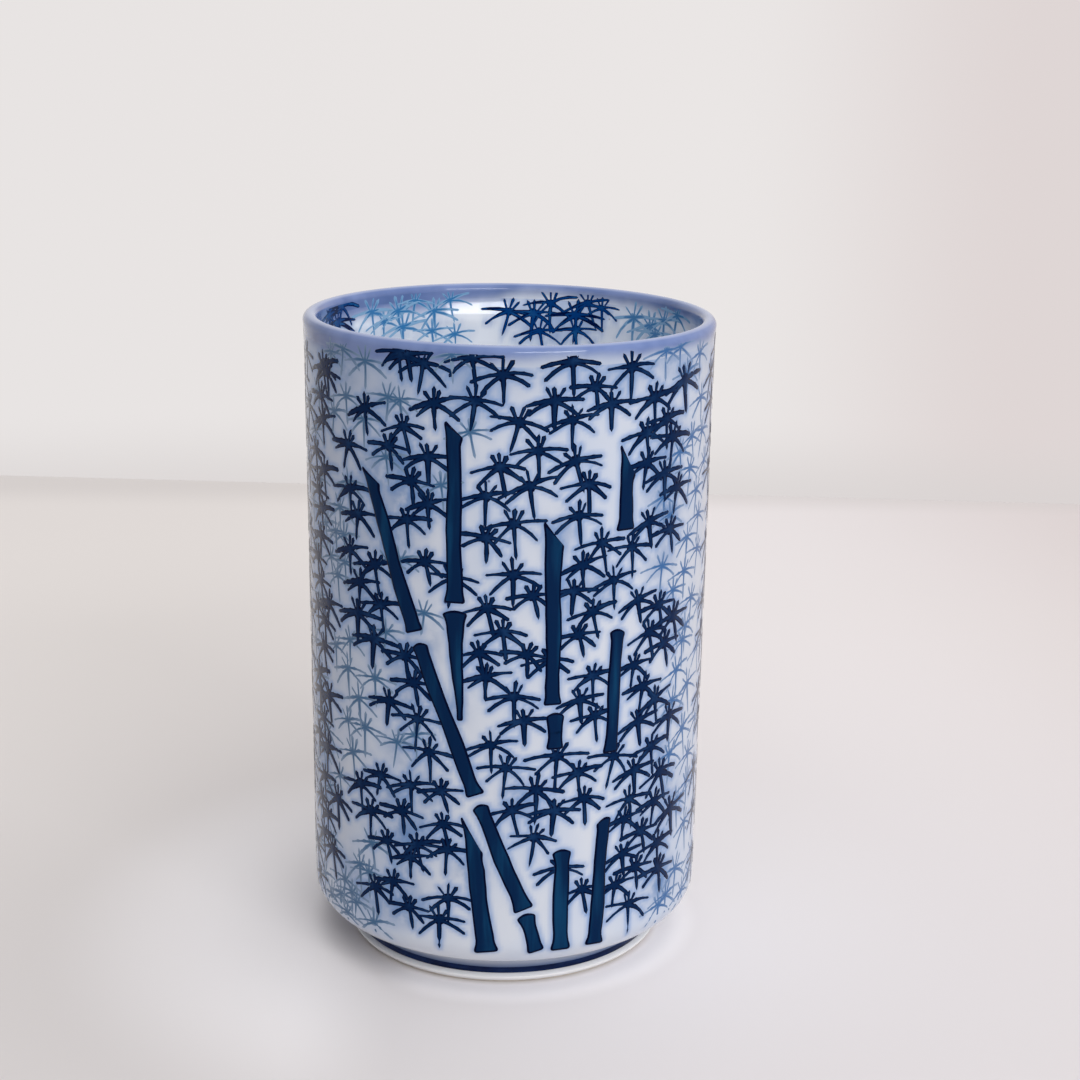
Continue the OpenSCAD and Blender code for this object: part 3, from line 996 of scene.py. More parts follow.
def halo_around(mesh, strokes, share, reach):
    """The blue that bleeds into the glaze close around raised strokes."""
    halo = np.zeros(len(mesh.vertices))
    corners = [corner.co for corner in strokes.data.vertices]
    faces = [face.vertices for face in strokes.data.polygons]
    surface = BVHTree.FromPolygons(corners, faces)
    for spot in mesh.vertices:
        gap = surface.find_nearest(spot.co, HALO_CUT * reach * MM)[3]
        if gap is not None:
            halo[spot.index] = share * math.exp(-(gap / MM / reach) ** 2)
    return halo


def blue_near(mesh, sprays, weight, spread, radius, strokes=()):
    """How much blue the points of a mesh take from the sprays and strokes around them.

    The spread is a share of a spray's half width. Each of the strokes is a piece with its halo."""
    spots = np.zeros(len(mesh.vertices) * 3)
    mesh.vertices.foreach_get("co", spots)
    spots = spots.reshape(-1, 3) / MM
    turn = np.arctan2(spots[:, 0], -spots[:, 1])
    height = spots[:, 2]
    shade = np.zeros(len(spots))
    for spray_turn, spray_height, half in sprays:
        side = gap_to(turn, spray_turn, radius)
        drop = height - spray_height + BLUE_DROP * half
        shade += weight * np.exp(-(side ** 2 + drop ** 2) / (spread * half) ** 2)
    for piece, halo in strokes:
        shade += (1.0 - shade) * halo_around(mesh, piece, *halo)
    return np.clip(shade, 0.0, 1.0)


# Finishes

def new_finish(name):
    """A material with its node tree and its gloss shader."""
    finish = bpy.data.materials.new(name)
    finish.use_nodes = True
    tree = finish.node_tree
    return finish, tree, tree.nodes["Principled BSDF"]


def blend_colours(tree, share, first, second):
    """A mix of two colours, each given as a colour or as a socket."""
    inputs = {"Factor": share, 6: first, 7: second}
    return add_node(tree, "ShaderNodeMix", inputs, data_type="RGBA").outputs[2]


def ramp(tree, value, low, high, low_share=0.0, high_share=1.0):
    """A soft ramp of a socket's value between two levels."""
    spread = add_node(tree, "ShaderNodeMapRange", {
        "Value": value,
        "From Min": low,
        "From Max": high,
        "To Min": low_share,
        "To Max": high_share,
    }, interpolation_type="SMOOTHSTEP")
    return spread.outputs["Result"]


def object_place(tree, shift=(0.0, 0.0, 0.0), stretch=(1.0, 1.0, 1.0)):
    """The place in Object coordinates, shifted or stretched for a pattern."""
    where = tree.nodes.new("ShaderNodeTexCoord")
    inputs = {"Vector": where.outputs["Object"], "Location": shift, "Scale": stretch}
    return add_node(tree, "ShaderNodeMapping", inputs).outputs[0]


def object_axes(tree):
    """The place in Object coordinates as three sockets: X, Y and Z."""
    where = tree.nodes.new("ShaderNodeTexCoord")
    return add_node(tree, "ShaderNodeSeparateXYZ", {0: where.outputs["Object"]}).outputs


def cloud(tree, per_metre, detail=3.0, stretch=(1.0, 1.0, 1.0)):
    """Soft irregular variation in Object coordinates."""
    inputs = {"Vector": object_place(tree, stretch=stretch), "Scale": per_metre, "Detail": detail}
    return add_node(tree, "ShaderNodeTexNoise", inputs).outputs["Fac"]


def wander(tree, per_metre, detail, reach):
    """A cloudy number that strays to both sides of nothing, by up to half of its reach."""
    middle = combine(tree, "SUBTRACT", cloud(tree, per_metre, detail), 0.5)
    return combine(tree, "MULTIPLY", middle, reach)


def height_in_mm(tree):
    """The height above the table in millimetres."""
    return combine(tree, "DIVIDE", object_axes(tree)["Z"], MM)


def length_of(tree, place):
    """The length of a socket's vector."""
    return add_node(tree, "ShaderNodeVectorMath", {0: place}, operation="LENGTH").outputs["Value"]


def radius_in_mm(tree):
    """The distance from the cup's axis in millimetres."""
    return combine(tree, "DIVIDE", length_of(tree, object_place(tree, stretch=(1.0, 1.0, 0.0))), MM)


def read_attribute(tree, name):
    """A value stored on the piece's points."""
    return add_node(tree, "ShaderNodeAttribute", {}, attribute_name=name).outputs["Fac"]


def add_bump(tree, shader, height, strength, depth):
    """Lets the gloss follow a relief with a depth in millimetres, on top of any relief before."""
    inputs = {"Strength": strength, "Distance": depth * MM, "Height": height}
    if shader.inputs["Normal"].is_linked:
        inputs["Normal"] = shader.inputs["Normal"].links[0].from_socket
    bump = add_node(tree, "ShaderNodeBump", inputs)
    put(tree, shader.inputs["Normal"], bump.outputs["Normal"])


def glossy_glaze(tree, shader, roughness, wave_depth, gloss, edge_gloss):
    """The wet gloss of fired glaze, stronger at a slant, with the faint waves that it sets in."""
    slant = add_node(tree, "ShaderNodeLayerWeight", {"Blend": 0.5}).outputs["Facing"]
    uneven = ramp(tree, cloud(tree, 90.0), 0.3, 0.7, roughness * 0.8, roughness * 1.5)
    put(tree, shader.inputs["IOR"], 1.5)
    put(tree, shader.inputs["Specular IOR Level"], ramp(tree, slant, 0.35, 0.85, gloss, edge_gloss))
    put(tree, shader.inputs["Roughness"], uneven)
    add_bump(tree, shader, cloud(tree, 140.0, 2.0), 0.6, wave_depth)


# Colours on porcelain
PORCELAIN = tone(210, 216, 227)
PORCELAIN_COOL = tone(201, 210, 226)
# Painted light: the inside's whites are lighter copies of the porcelain, standing in for light the
# hollow lacks
INSIDE_WHITE_PAINTED_LIGHTER = tone(240, 245, 253)
INSIDE_COOL_PAINTED_LIGHTER = tone(231, 239, 250)
# Painted light: the foot's white is a lighter copy of the porcelain, lifting the shade near the table
FOOT_WHITE_PAINTED_LIGHTER = tone(240, 241, 243)
HAZE_BLUE = tone(96, 142, 204)
WASH_BLUE = tone(78, 122, 178)
# Navy of the line bleeding up, which also paints the shade in the recess under the shoulder
FOOT_BLEED_AND_SHADE = tone(46, 80, 130)
SPECK_BLUE = tone(30, 50, 100)
CLAY_WHITE = tone(232, 226, 216)
CLAY_GRAIN = tone(216, 206, 192)
# Colours of the lip
LIP_BLUE = tone(118, 138, 188)
LIP_BLUE_DEEP = tone(88, 112, 166)
# Painted highlight on the lip's ridge, which is also whiter where the glaze runs thin
LIP_RIDGE_SHEEN = tone(196, 206, 234)
# Dark blues: a stroke's edge, its inside and the streaks in it
COBALT_EDGE = tone(0, 2, 36)
COBALT_INSIDE = tone(4, 34, 74)
COBALT_STREAK = tone(22, 54, 96)
HOLLOW_EDGE = tone(0, 22, 70)
HOLLOW_COBALT = tone(4, 60, 126)
HOLLOW_STREAK = tone(30, 92, 150)
CULM_EDGE = tone(0, 6, 38)
CULM_INSIDE = tone(6, 35, 72)
CULM_STREAK = tone(14, 62, 100)
LINE_NAVY = tone(2, 20, 58)
LINE_THIN = tone(16, 44, 92)
# Pale blues of the outer wall's left and right, of the inner wall, and where they have faded
PALE_GREY = tone(50, 96, 138)
PALE_BLUE = tone(40, 98, 158)
PALE_FADED = tone(142, 164, 192)
INSIDE_TEAL = tone(54, 122, 180)
INSIDE_FADED = tone(156, 196, 228)

# Heights between which the lip's blue sets in, outside and inside, how strong the thin blue under
# it is, and how strong the painted shade on the upper left is, a cloudy blue with some thicker haze
LIP_LINE_LOW = 101.6
LIP_LINE_HIGH = 103.9
LIP_LINE_INSIDE = 100.6
UNDER_LIP = 0.3
LEFT_SHADE_AND_DRIFT = 0.3
# Heights above the cup, for glaze that no blue of the lip reaches
NO_LIP = (CUP_H + 2.0, CUP_H + 3.0)
# The glaze's gloss face on and at a slant
WALL_GLOSS = (0.45, 0.35)
LIP_GLOSS = (0.4, 0.6)
COBALT_GLOSS = (0.03, 0.2)
PALE_GLOSS = (0.4, 0.35)
LINE_GLOSS = (0.1, 0.4)
# How rough each gloss is, and how deep the waves in it are in millimetres
GLAZE_ROUGHNESS = 0.07
GLAZE_WAVES = 0.02
COBALT_ROUGHNESS = 0.12
COBALT_WAVES = 0.012
LINE_ROUGHNESS = 0.1
LINE_WAVES = 0.01


def specks(tree, colour, shift):
    """Pin-sized blue specks strewn thinly under the glaze."""
    inputs = {"Vector": object_place(tree, shift=(shift, 0.0, 0.0)), "Scale": 120.0}
    cells = add_node(tree, "ShaderNodeTexVoronoi", inputs)
    dot = ramp(tree, cells.outputs["Distance"], 0.022, 0.045, 1.0, 0.0)
    return blend_colours(tree, dot, colour, SPECK_BLUE)


def lip_line(tree, low, high):
    """How far the lip's blue covers a height: deeper on the left, and its line wanders."""
    slowly = wander(tree, per_metre=22.0, detail=1.0, reach=4.0)
    finely = wander(tree, per_metre=160.0, detail=3.0, reach=1.6)
    strayed = combine(tree, "ADD", slowly, finely)
    deeper = ramp(tree, object_axes(tree)["X"], -0.014, 0.006, 1.1, -0.5)
    level = combine(tree, "ADD", height_in_mm(tree), strayed)
    return ramp(tree, combine(tree, "ADD", level, deeper), low, high)


def pooled_blue(tree):
    """The lip's blue, deeper where the glaze pooled, and whiter over the very ridge, where the glaze
    runs thin and a painted highlight lies.
    """
    pooled = blend_colours(tree, ramp(tree, cloud(tree, 120.0), 0.35, 0.75), LIP_BLUE, LIP_BLUE_DEEP)
    # Painted highlight: the ridge turns whiter, standing in for the gloss along it
    ridge = ramp(tree, height_in_mm(tree), CUP_H - 0.35, CUP_H - 0.02, 0.0, 0.4)
    return blend_colours(tree, ridge, pooled, LIP_RIDGE_SHEEN)


def flare_at_lip(finish, low, high, depth):
    """Lets the gloss curve outwards below the lip, where the glaze runs thinner."""
    tree = finish.node_tree
    thinner = ramp(tree, height_in_mm(tree), low, high, 1.0, 0.0)
    add_bump(tree, tree.nodes["Principled BSDF"], thinner, 1.0, depth)


def porcelain_ground(tree, white, cool_white):
    """Porcelain that is a little cooler in cloudy places."""
    return blend_colours(tree, ramp(tree, cloud(tree, 60.0), 0.4, 0.65), white, cool_white)


def run_under_lip(tree, ground, share):
    """The thin blue that runs down from the lip."""
    near_lip = ramp(tree, height_in_mm(tree), 94.0, 103.0, 0.0, share)
    return blend_colours(tree, near_lip, ground, WASH_BLUE)


def shade_and_drift_on_left(tree, drift):
    """How much a thin cloudy blue covers the upper left of the cup: painted shade on the side away
    from the light, with some thicker blue haze.
    """
    to_left = ramp(tree, object_axes(tree)["X"], -0.032, -0.004, drift, 0.0)
    upwards = ramp(tree, height_in_mm(tree), 42.0, 68.0, 0.3, 1.0)
    return combine(tree, "MULTIPLY", to_left, upwards)


def bleed_and_shade_above_line(tree):
    """How much the navy line's colour bleeds up into the glaze of the recess, with painted shade and
    a painted reflection of the line where the shoulder overhangs it.
    """
    bleed_and_shade = ramp(tree, height_in_mm(tree), LINE_TOP_Z - 0.1, LINE_TOP_Z + 1.2, 0.9, 0.15)
    in_recess = combine(tree, "LESS_THAN", height_in_mm(tree), FOOT_H + 0.02)
    above_line = combine(tree, "GREATER_THAN", height_in_mm(tree), LINE_LOW_Z + 0.1)
    return combine(tree, "MULTIPLY", bleed_and_shade, combine(tree, "MULTIPLY", in_recess, above_line))


def white_glaze_finish(name, white, cool_white, lip_heights, drift=0.0, under_lip=0.0):
    """White porcelain under clear glaze, hazed blue by the strokes, the lip and the navy line, with
    painted shade on the upper left and in the recess above the navy line.
    """
    finish, tree, shader = new_finish(name)
    ground = porcelain_ground(tree, white, cool_white)
    patchy = ramp(tree, cloud(tree, 260.0, 4.0), 0.3, 0.7, 0.7, 1.0)
    haze = combine(tree, "MULTIPLY", read_attribute(tree, "haze"), patchy)
    ground = blend_colours(tree, haze, ground, HAZE_BLUE)
    # Painted shade: a cloudy wash blue darkens the upper left, the side away from the light
    ground = blend_colours(tree, shade_and_drift_on_left(tree, drift), ground, WASH_BLUE)
    smear = ramp(tree, cloud(tree, 420.0, 3.0), 0.3, 0.6, 0.35, 1.0)
    wash = combine(tree, "MULTIPLY", read_attribute(tree, "wash"), smear)
    ground = specks(tree, blend_colours(tree, wash, ground, WASH_BLUE), 0.37)
    ground = run_under_lip(tree, ground, under_lip)
    covered = blend_colours(tree, lip_line(tree, *lip_heights), ground, pooled_blue(tree))
    # Painted shade: the recess above the navy line is darkened with the line's blue
    covered = blend_colours(tree, bleed_and_shade_above_line(tree), covered, FOOT_BLEED_AND_SHADE)
    put(tree, shader.inputs["Base Color"], covered)
    glossy_glaze(tree, shader, GLAZE_ROUGHNESS, GLAZE_WAVES, *WALL_GLOSS)
    return finish


def lip_finish():
    """Lavender blue glaze that pools deeper in places and frays into the white below it."""
    finish, tree, shader = new_finish("lavender_blue_glaze")
    pooled = pooled_blue(tree)
    outer_ground = run_under_lip(tree, porcelain_ground(tree, PORCELAIN, PORCELAIN_COOL), UNDER_LIP)
    outer_share = lip_line(tree, LIP_LINE_LOW, LIP_LINE_HIGH)
    outside = blend_colours(tree, outer_share, outer_ground, pooled)
    inner_ground = porcelain_ground(tree, INSIDE_WHITE_PAINTED_LIGHTER, INSIDE_COOL_PAINTED_LIGHTER)
    inner_share = lip_line(tree, LIP_LINE_INSIDE, LIP_LINE_HIGH)
    inside = blend_colours(tree, inner_share, inner_ground, pooled)
    ridge_r = MOUTH_R - LIP_ROUND
    inner = ramp(tree, radius_in_mm(tree), ridge_r - 0.3, ridge_r + 0.3, 1.0, 0.0)
    colour = blend_colours(tree, inner, outside, inside)
    put(tree, shader.inputs["Base Color"], specks(tree, colour, 0.11))
    glossy_glaze(tree, shader, GLAZE_ROUGHNESS, GLAZE_WAVES, *LIP_GLOSS)
    return finish


def cobalt_finish(name, edge_colour, inside_colour, streak_colour, upwards=1.0):
    """Thick cobalt under gloss, darkest at the edges of each stroke and streaked inside. A share
    below 1 draws the streaks out upwards."""
    finish, tree, shader = new_finish(name)
    streaks = cloud(tree, 420.0, 4.0, (1.0, 1.0, upwards))
    inside = blend_colours(tree, ramp(tree, streaks, 0.45, 0.75), inside_colour, streak_colour)
    share = ramp(tree, read_attribute(tree, "edge"), 0.3, 0.8)
    put(tree, shader.inputs["Base Color"], blend_colours(tree, share, inside, edge_colour))
    glossy_glaze(tree, shader, COBALT_ROUGHNESS, COBALT_WAVES, *COBALT_GLOSS)
    return finish


def pale_finish(name, left_blue, right_blue, faded):
    """Thin washed-out blue that fades at a stroke's edges and tips, greyer on the left."""
    finish, tree, shader = new_finish(name)
    strayed = wander(tree, per_metre=160.0, detail=3.0, reach=0.05)
    place = combine(tree, "ADD", object_axes(tree)["X"], strayed)
    wash = blend_colours(tree, ramp(tree, place, -0.014, 0.018), left_blue, right_blue)
    at_edge = ramp(tree, read_attribute(tree, "edge"), 0.25, 1.0, 0.0, 0.7)
    at_tip = ramp(tree, read_attribute(tree, "fade"), 0.15, 1.0, 0.0, 0.6)
    share = combine(tree, "MAXIMUM", at_edge, at_tip)
    put(tree, shader.inputs["Base Color"], blend_colours(tree, share, wash, faded))
    glossy_glaze(tree, shader, GLAZE_ROUGHNESS, GLAZE_WAVES, *PALE_GLOSS)
    return finish


def line_finish():
    """The brushed navy line, a little thinner and lighter in places."""
    finish, tree, shader = new_finish("brushed_navy")
    brush = ramp(tree, cloud(tree, 150.0, 4.0, (1.0, 1.0, 5.0)), 0.35, 0.75)
    put(tree, shader.inputs["Base Color"], blend_colours(tree, brush, LINE_NAVY, LINE_THIN))
    glossy_glaze(tree, shader, LINE_ROUGHNESS, LINE_WAVES, *LINE_GLOSS)
    return finish


def biscuit_finish():
    """Bare fired clay: warm white, matt and finely grained."""
    finish, tree, shader = new_finish("bare_clay")
    grain = cloud(tree, 900.0, 6.0)
    colour = blend_colours(tree, ramp(tree, grain, 0.3, 0.7), CLAY_WHITE, CLAY_GRAIN)
    put(tree, shader.inputs["Base Color"], colour)
    put(tree, shader.inputs["Roughness"], ramp(tree, grain, 0.3, 0.7, 0.62, 0.85))
    add_bump(tree, shader, grain, 0.5, 0.03)
    return finish


# Table and light

# Where the table ends behind the cup, and how much nearer its edge is at the right than in the middle
TABLE_BACK = 0.306
TABLE_SLANT = 0.10
TABLE_REACH = 1.5
TABLE_FRONT = -2.0
# Painted shade: the table is darker to the left, to the right and towards the front than in the
# middle
TABLE_LEFT = tone(234, 229, 227)
TABLE_MIDDLE = tone(244, 239, 241)
TABLE_RIGHT = tone(230, 221, 221)
TABLE_FRONT_LEFT = tone(212, 208, 209)
TABLE_FRONT_RIGHT = tone(219, 215, 218)
# Painted light: near the cup the table turns whiter, which lifts the cup's shade on it
TABLE_NEAR_PAINTED_LIGHT = tone(254, 251, 253)
TABLE_EDGE = tone(216, 211, 210)
ROOM_LEFT = tone(232, 228, 227)
ROOM_MIDDLE = tone(234, 230, 229)
ROOM_RIGHT = tone(223, 214, 213)

# The room's light low down, its growth to the right and to the front, its least strength, and
# the ceiling's light with its growth to the right
ROOM_LIGHT = 0.16
ROOM_LIGHT_GROWTH = (0.30, -0.26)
DIMMEST_LIGHT = 0.02
CEILING_LIGHT = 1.30
CEILING_GROWTH = 0.7
ROOM_LIGHT_COLOUR = (1.0, 0.985, 0.975, 1.0)
WINDOW_POWER = 4.5
WINDOW_SIZE = (0.75, 0.20)
WINDOW_COLOUR = (1.0, 0.985, 0.96)
WINDOW_SPOT = (0.389, -0.916, 0.671)
WINDOW_AIM = (0.0, 0.0, 0.05)


def table_finish():
    """Pale table, with soft painted shade across it, and painted light around the cup that lifts the
    shade the cup casts on it.
    """
    finish, tree, shader = new_finish("pale_table")
    place = object_axes(tree)
    from_axis = length_of(tree, object_place(tree))

    def ring(rise_low, rise_high, fall_low, fall_high, share=1.0):
        outer = ramp(tree, from_axis, fall_low, fall_high, share, 0.0)
        return combine(tree, "MULTIPLY", outer, ramp(tree, from_axis, rise_low, rise_high))

    def tinted(colour, share, tint):
        return blend_colours(tree, share, colour, tint)

    # Painted shade across the table, darker to the sides and towards the front
    colour = tinted(TABLE_LEFT, ramp(tree, place["X"], -0.10, 0.06), TABLE_MIDDLE)
    colour = tinted(colour, ramp(tree, place["X"], 0.06, 0.20), TABLE_RIGHT)
    colour = tinted(colour, ramp(tree, cloud(tree, 6.0, 2.0), 0.3, 0.7, 0.0, 0.25), TABLE_LEFT)
    # Painted light in a ring around the cup
    colour = tinted(colour, ring(0.026, 0.033, 0.036, 0.085), TABLE_NEAR_PAINTED_LIGHT)
    front_side = ramp(tree, place["X"], -0.04, 0.04)
    front_colour = blend_colours(tree, front_side, TABLE_FRONT_LEFT, TABLE_FRONT_RIGHT)
    colour = tinted(colour, ramp(tree, place["Y"], -0.12, 0.20, 0.8, 0.0), front_colour)
    near_edge = ramp(tree, place["Y"], TABLE_BACK - 0.030, TABLE_BACK, 0.0, 0.6)
    colour = tinted(colour, near_edge, TABLE_EDGE)
    # Painted light at the foot, on its front and right, and beside it on the left
    not_left = ramp(tree, place["X"], -0.022, -0.012)
    painted_light_at_foot = combine(tree, "MULTIPLY", ring(0.0255, 0.027, 0.0295, 0.034), not_left)
    left = ramp(tree, place["X"], -0.035, -0.015, 1.0, 0.0)
    beside = combine(tree, "MULTIPLY", ring(0.029, 0.034, 0.045, 0.08, 0.75), left)
    colour = tinted(colour, combine(tree, "MAXIMUM", painted_light_at_foot, beside), TABLE_NEAR_PAINTED_LIGHT)
    put(tree, shader.inputs["Base Color"], colour)
    put(tree, shader.inputs["Roughness"], 0.6)
    put(tree, shader.inputs["Specular IOR Level"], 0.2)
    return finish


def make_table():
    """The pale table top, which ends behind the cup where the photograph's does."""
    mesh = bpy.data.meshes.new("table_top")
    corners = [
        (-TABLE_REACH, TABLE_FRONT, 0.0),
        (TABLE_REACH, TABLE_FRONT, 0.0),
        (TABLE_REACH, TABLE_BACK - TABLE_SLANT, 0.0),
        (-TABLE_REACH, TABLE_BACK + TABLE_SLANT, 0.0),
    ]
    mesh.from_pydata(corners, [], [(0, 1, 2, 3)])
    mesh.materials.append(table_finish())
    table = bpy.data.objects.new("table_top", mesh)
    bpy.context.scene.collection.objects.link(table)


def room_brightness(tree, way):
    """The strength of the room's light from a direction."""
    ceiling = combine(tree, "POWER", combine(tree, "MAXIMUM", way["Z"], 0.0), 2.0)
    to_right = combine(tree, "ADD", combine(tree, "MULTIPLY", way["X"], CEILING_GROWTH), 1.0)
    ceiling = combine(tree, "MULTIPLY", ceiling, to_right)
    level = combine(tree, "ADD", combine(tree, "MULTIPLY", ceiling, CEILING_LIGHT), ROOM_LIGHT)
    for axis, growth in zip("XY", ROOM_LIGHT_GROWTH):
        level = combine(tree, "ADD", combine(tree, "MULTIPLY", way[axis], growth), level)
    return combine(tree, "MAXIMUM", level, DIMMEST_LIGHT)


def room_backdrop(tree, way):
    """The colour of the wall behind the table, as it is seen and mirrored."""
    middle = ramp(tree, way["X"], -0.20, 0.10)
    right = ramp(tree, way["X"], 0.10, 0.25)
    colour = blend_colours(tree, middle, ROOM_LEFT, ROOM_MIDDLE)
    colour = blend_colours(tree, right, colour, ROOM_RIGHT)
    low = ramp(tree, way["Z"], -0.245, -0.20, 0.75, 0.0)
    return blend_colours(tree, low, colour, TABLE_EDGE)


def light_room():
    """Pale light from all around, stronger from the right, in front of a pale backdrop."""
    world = bpy.data.worlds.new("pale_room")
    bpy.context.scene.world = world
    world.use_nodes = True
    tree = world.node_tree
    where = tree.nodes.new("ShaderNodeTexCoord")
    way = add_node(tree, "ShaderNodeSeparateXYZ", {0: where.outputs["Generated"]}).outputs
    lit = tree.nodes["Background"]
    put(tree, lit.inputs["Color"], ROOM_LIGHT_COLOUR)
    put(tree, lit.inputs["Strength"], room_brightness(tree, way))
    inputs = {"Color": room_backdrop(tree, way), "Strength": 1.0}
    seen = add_node(tree, "ShaderNodeBackground", inputs)
    path = tree.nodes.new("ShaderNodeLightPath").outputs
    any_seen = combine(tree, "MAXIMUM", path["Is Camera Ray"], path["Is Glossy Ray"])
    any_seen = combine(tree, "MAXIMUM", any_seen, path["Is Transmission Ray"])
    inputs = {0: any_seen, 1: lit.outputs[0], 2: seen.outputs[0]}
    mix = add_node(tree, "ShaderNodeMixShader", inputs)
    put(tree, tree.nodes["World Output"].inputs["Surface"], mix.outputs[0])


def add_window():
    """A window to the right in front of the cup, behind the camera."""
    data = bpy.data.lights.new("window", "AREA")
    data.shape = "RECTANGLE"
    data.size, data.size_y = WINDOW_SIZE
    data.energy = WINDOW_POWER
    data.color = WINDOW_COLOUR
    window = bpy.data.objects.new("window", data)
    bpy.context.scene.collection.objects.link(window)
    window.location = WINDOW_SPOT
    aim = Vector(WINDOW_AIM) - Vector(WINDOW_SPOT)
    window.rotation_euler = aim.to_track_quat("-Z", "Y").to_euler()


# The cup

# The strokes round the shoulder a little wider than the wall does, which keeps their straight
# pieces clear of it
OUTSIDE_SIZES = {
    "Roll Radius": BASE_R, "Low Radius": BASE_R, "Low Height": WALL_FOOT_Z,
    "Top Radius": NECK_R, "Top Height": RIM_OUT_Z,
    "Corner Radius": SHOULDER_R + 0.7, "Lip Flare": MOUTH_R - NECK_R, "Lip Height": LIP_Z,
    "Widest Radius": MOUTH_R,
}
# The minus signs roll the strokes up the other way round, to face the axis
INSIDE_SIZES = {
    "Roll Radius": -INNER_BASE_R, "Low Radius": INNER_BASE_R, "Low Height": INNER_CORNER_Z,
    "Top Radius": INNER_MOUTH_R, "Top Height": LIP_Z,
    "Corner Radius": INNER_CORNER_R, "Lip Flare": 0.0, "Lip Height": CUP_H,
    "Widest Radius": MOUTH_R,
}
# Turns around the back, and around the near half of the inside
DARK_BACK_TURNS = (SEEN_TURN, 2 * math.pi - SEEN_TURN_LEFT)
PALE_BACK_TURNS = (math.radians(60), math.radians(300))
NEAR_INSIDE_TURNS = (math.radians(-112), math.radians(112))
# A room of minus a culm's width lets the sprays inside stand wherever the culms are outside
ANYWHERE = -CULM_W
# How strong the blue is that bleeds around strokes, and how far it reaches in millimetres
DARK_HALO = (0.75, 0.5)
PALE_HALO = (0.18, 0.7)
INSIDE_HALO = (0.6, 0.5)
INSIDE_PALE_HALO = (0.15, 0.6)

bpy.context.scene.view_settings.view_transform = "Standard"
place_camera()
make_table()
light_room()
add_window()

front_dark = sprays_from_pixels(FRONT_SPRAYS_PX, OUTSIDE, False)
front_pale = sprays_from_pixels(PALE_SPRAYS_PX, OUTSIDE, False)
inside_dark = sprays_from_pixels(INSIDE_DARK_PX, INSIDE, True)
inside_pale = sprays_from_pixels(INSIDE_PALE_PX, INSIDE, True)
back_dark = scattered_sprays(
    seed=11, count=290, heights=(11.5, 102.0), turns=DARK_BACK_TURNS,
    taken=front_dark, apart=4.7, culm_room=1.2, radius=BASE_R, smallest=4.0,
)
back_pale = scattered_sprays(
    seed=12, count=110, heights=(11.5, 101.0), turns=PALE_BACK_TURNS,
    taken=front_pale + back_dark, apart=4.2, culm_room=1.6, radius=BASE_R, smallest=3.6,
)
near_dark = scattered_sprays(
    seed=13, count=22, heights=(92.0, 101.5), turns=NEAR_INSIDE_TURNS,
    taken=inside_dark + inside_pale, apart=4.6, culm_room=ANYWHERE, radius=INNER_MOUTH_R,
    smallest=3.6,
)
near_pale = scattered_sprays(
    seed=14, count=22, heights=(91.0, 101.5), turns=NEAR_INSIDE_TURNS,
    taken=inside_dark + inside_pale + near_dark, apart=4.0, culm_room=ANYWHERE,
    radius=INNER_MOUTH_R, smallest=3.4,
)
outside_dark = front_dark + back_dark
inside_dark += near_dark
inside_pale += near_pale

clear_wall = white_glaze_finish(
    "clear_glaze_over_white", PORCELAIN, PORCELAIN_COOL, (LIP_LINE_LOW, LIP_LINE_HIGH),
    LEFT_SHADE_AND_DRIFT, UNDER_LIP
)
clear_inside = white_glaze_finish(
    "clear_glaze_inside", INSIDE_WHITE_PAINTED_LIGHTER, INSIDE_COOL_PAINTED_LIGHTER, (LIP_LINE_INSIDE, LIP_LINE_HIGH)
)
flare_at_lip(clear_inside, low=98.3, high=103.3, depth=1.1)
clear_foot = white_glaze_finish("clear_glaze_on_foot", FOOT_WHITE_PAINTED_LIGHTER, FOOT_WHITE_PAINTED_LIGHTER, NO_LIP)
leaf_cobalt = cobalt_finish("cobalt_leaf", COBALT_EDGE, COBALT_INSIDE, COBALT_STREAK)
hollow_cobalt = cobalt_finish("cobalt_leaf_inside", HOLLOW_EDGE, HOLLOW_COBALT, HOLLOW_STREAK)
culm_cobalt = cobalt_finish("cobalt_culm", CULM_EDGE, CULM_INSIDE, CULM_STREAK, upwards=0.12)
washed = pale_finish("washed_blue", PALE_GREY, PALE_BLUE, PALE_FADED)
washed_inside = pale_finish("washed_blue_inside", INSIDE_TEAL, INSIDE_TEAL, INSIDE_FADED)
biscuit = biscuit_finish()

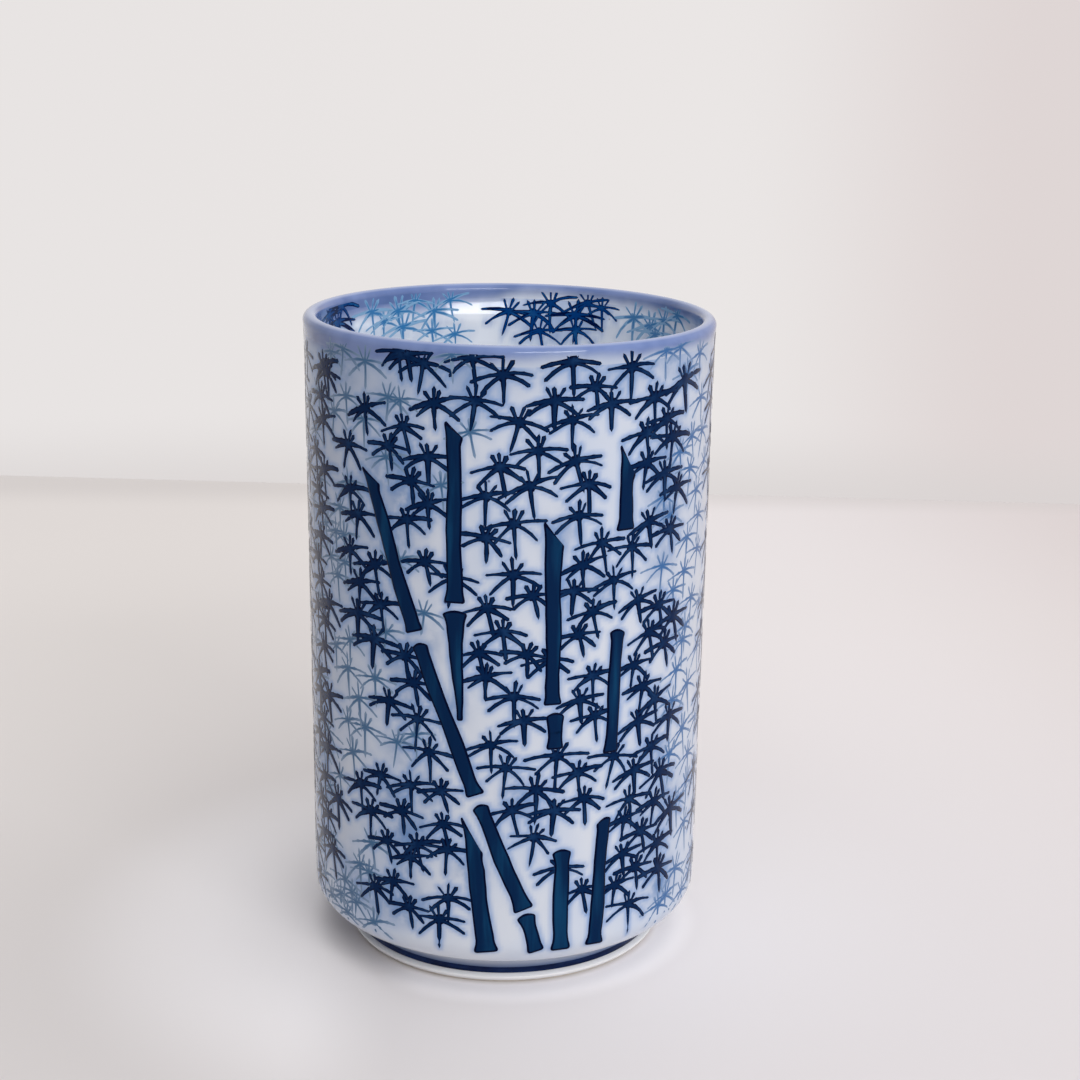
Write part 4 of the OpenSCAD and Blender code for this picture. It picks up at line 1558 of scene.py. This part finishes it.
culms = make_culms(culm_cobalt)
tree = strokes_on_wall_tree()
leaves = make_sprays(
    "leaf_sprays", tree, outside_dark,
    spray_shapes("dark_spray", slimness=0.98, broad=1.22, seed=3),
    leaf_cobalt, OUTSIDE_SIZES, SPRAY_RELIEF, seed=21
)
pale_leaves = make_sprays(
    "washed_sprays", tree, front_pale + back_pale,
    spray_shapes("pale_spray", slimness=0.70, broad=0.76, seed=4),
    washed, OUTSIDE_SIZES, PALE_RELIEF, seed=22
)
inside_leaves = make_sprays(
    "inside_sprays", tree, inside_dark,
    spray_shapes("inside_spray", slimness=0.80, broad=0.80, seed=5),
    hollow_cobalt, INSIDE_SIZES, -SPRAY_RELIEF, seed=23
)
inside_pale_leaves = make_sprays(
    "inside_washed_sprays", tree, inside_pale,
    spray_shapes("inside_pale_spray", slimness=0.70, broad=0.70, seed=6),
    washed_inside, INSIDE_SIZES, -PALE_RELIEF, seed=24
)

wash_spots = sprays_from_pixels(WASH_PX, OUTSIDE, False) + back_pale[::3]
outside_halos = [(leaves, DARK_HALO), (culms, DARK_HALO), (pale_leaves, PALE_HALO)]
inside_halos = [(inside_leaves, INSIDE_HALO), (inside_pale_leaves, INSIDE_PALE_HALO)]
outside_blue = {
    "haze": dict(sprays=outside_dark, weight=0.12, spread=0.8, radius=BASE_R, strokes=outside_halos),
    "wash": dict(sprays=wash_spots, weight=0.5, spread=0.8, radius=BASE_R),
}
inside_blue = {
    "haze": dict(
        sprays=inside_dark, weight=0.15, spread=0.9, radius=INNER_BASE_R, strokes=inside_halos
    ),
    "wash": dict(sprays=inside_pale, weight=0.15, spread=0.8, radius=INNER_BASE_R),
}
make_glazed_wall(clear_wall, outside_blue)
make_glazed_inside(clear_inside, inside_blue)
make_blue_lip(lip_finish())
make_navy_line(line_finish())
make_glazed_bead(clear_foot)
make_glazed_hollow(clear_foot)
make_clay_foot(biscuit)
bare_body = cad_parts["porcelain_body"].data
bare_body.materials.clear()
bare_body.materials.append(biscuit)
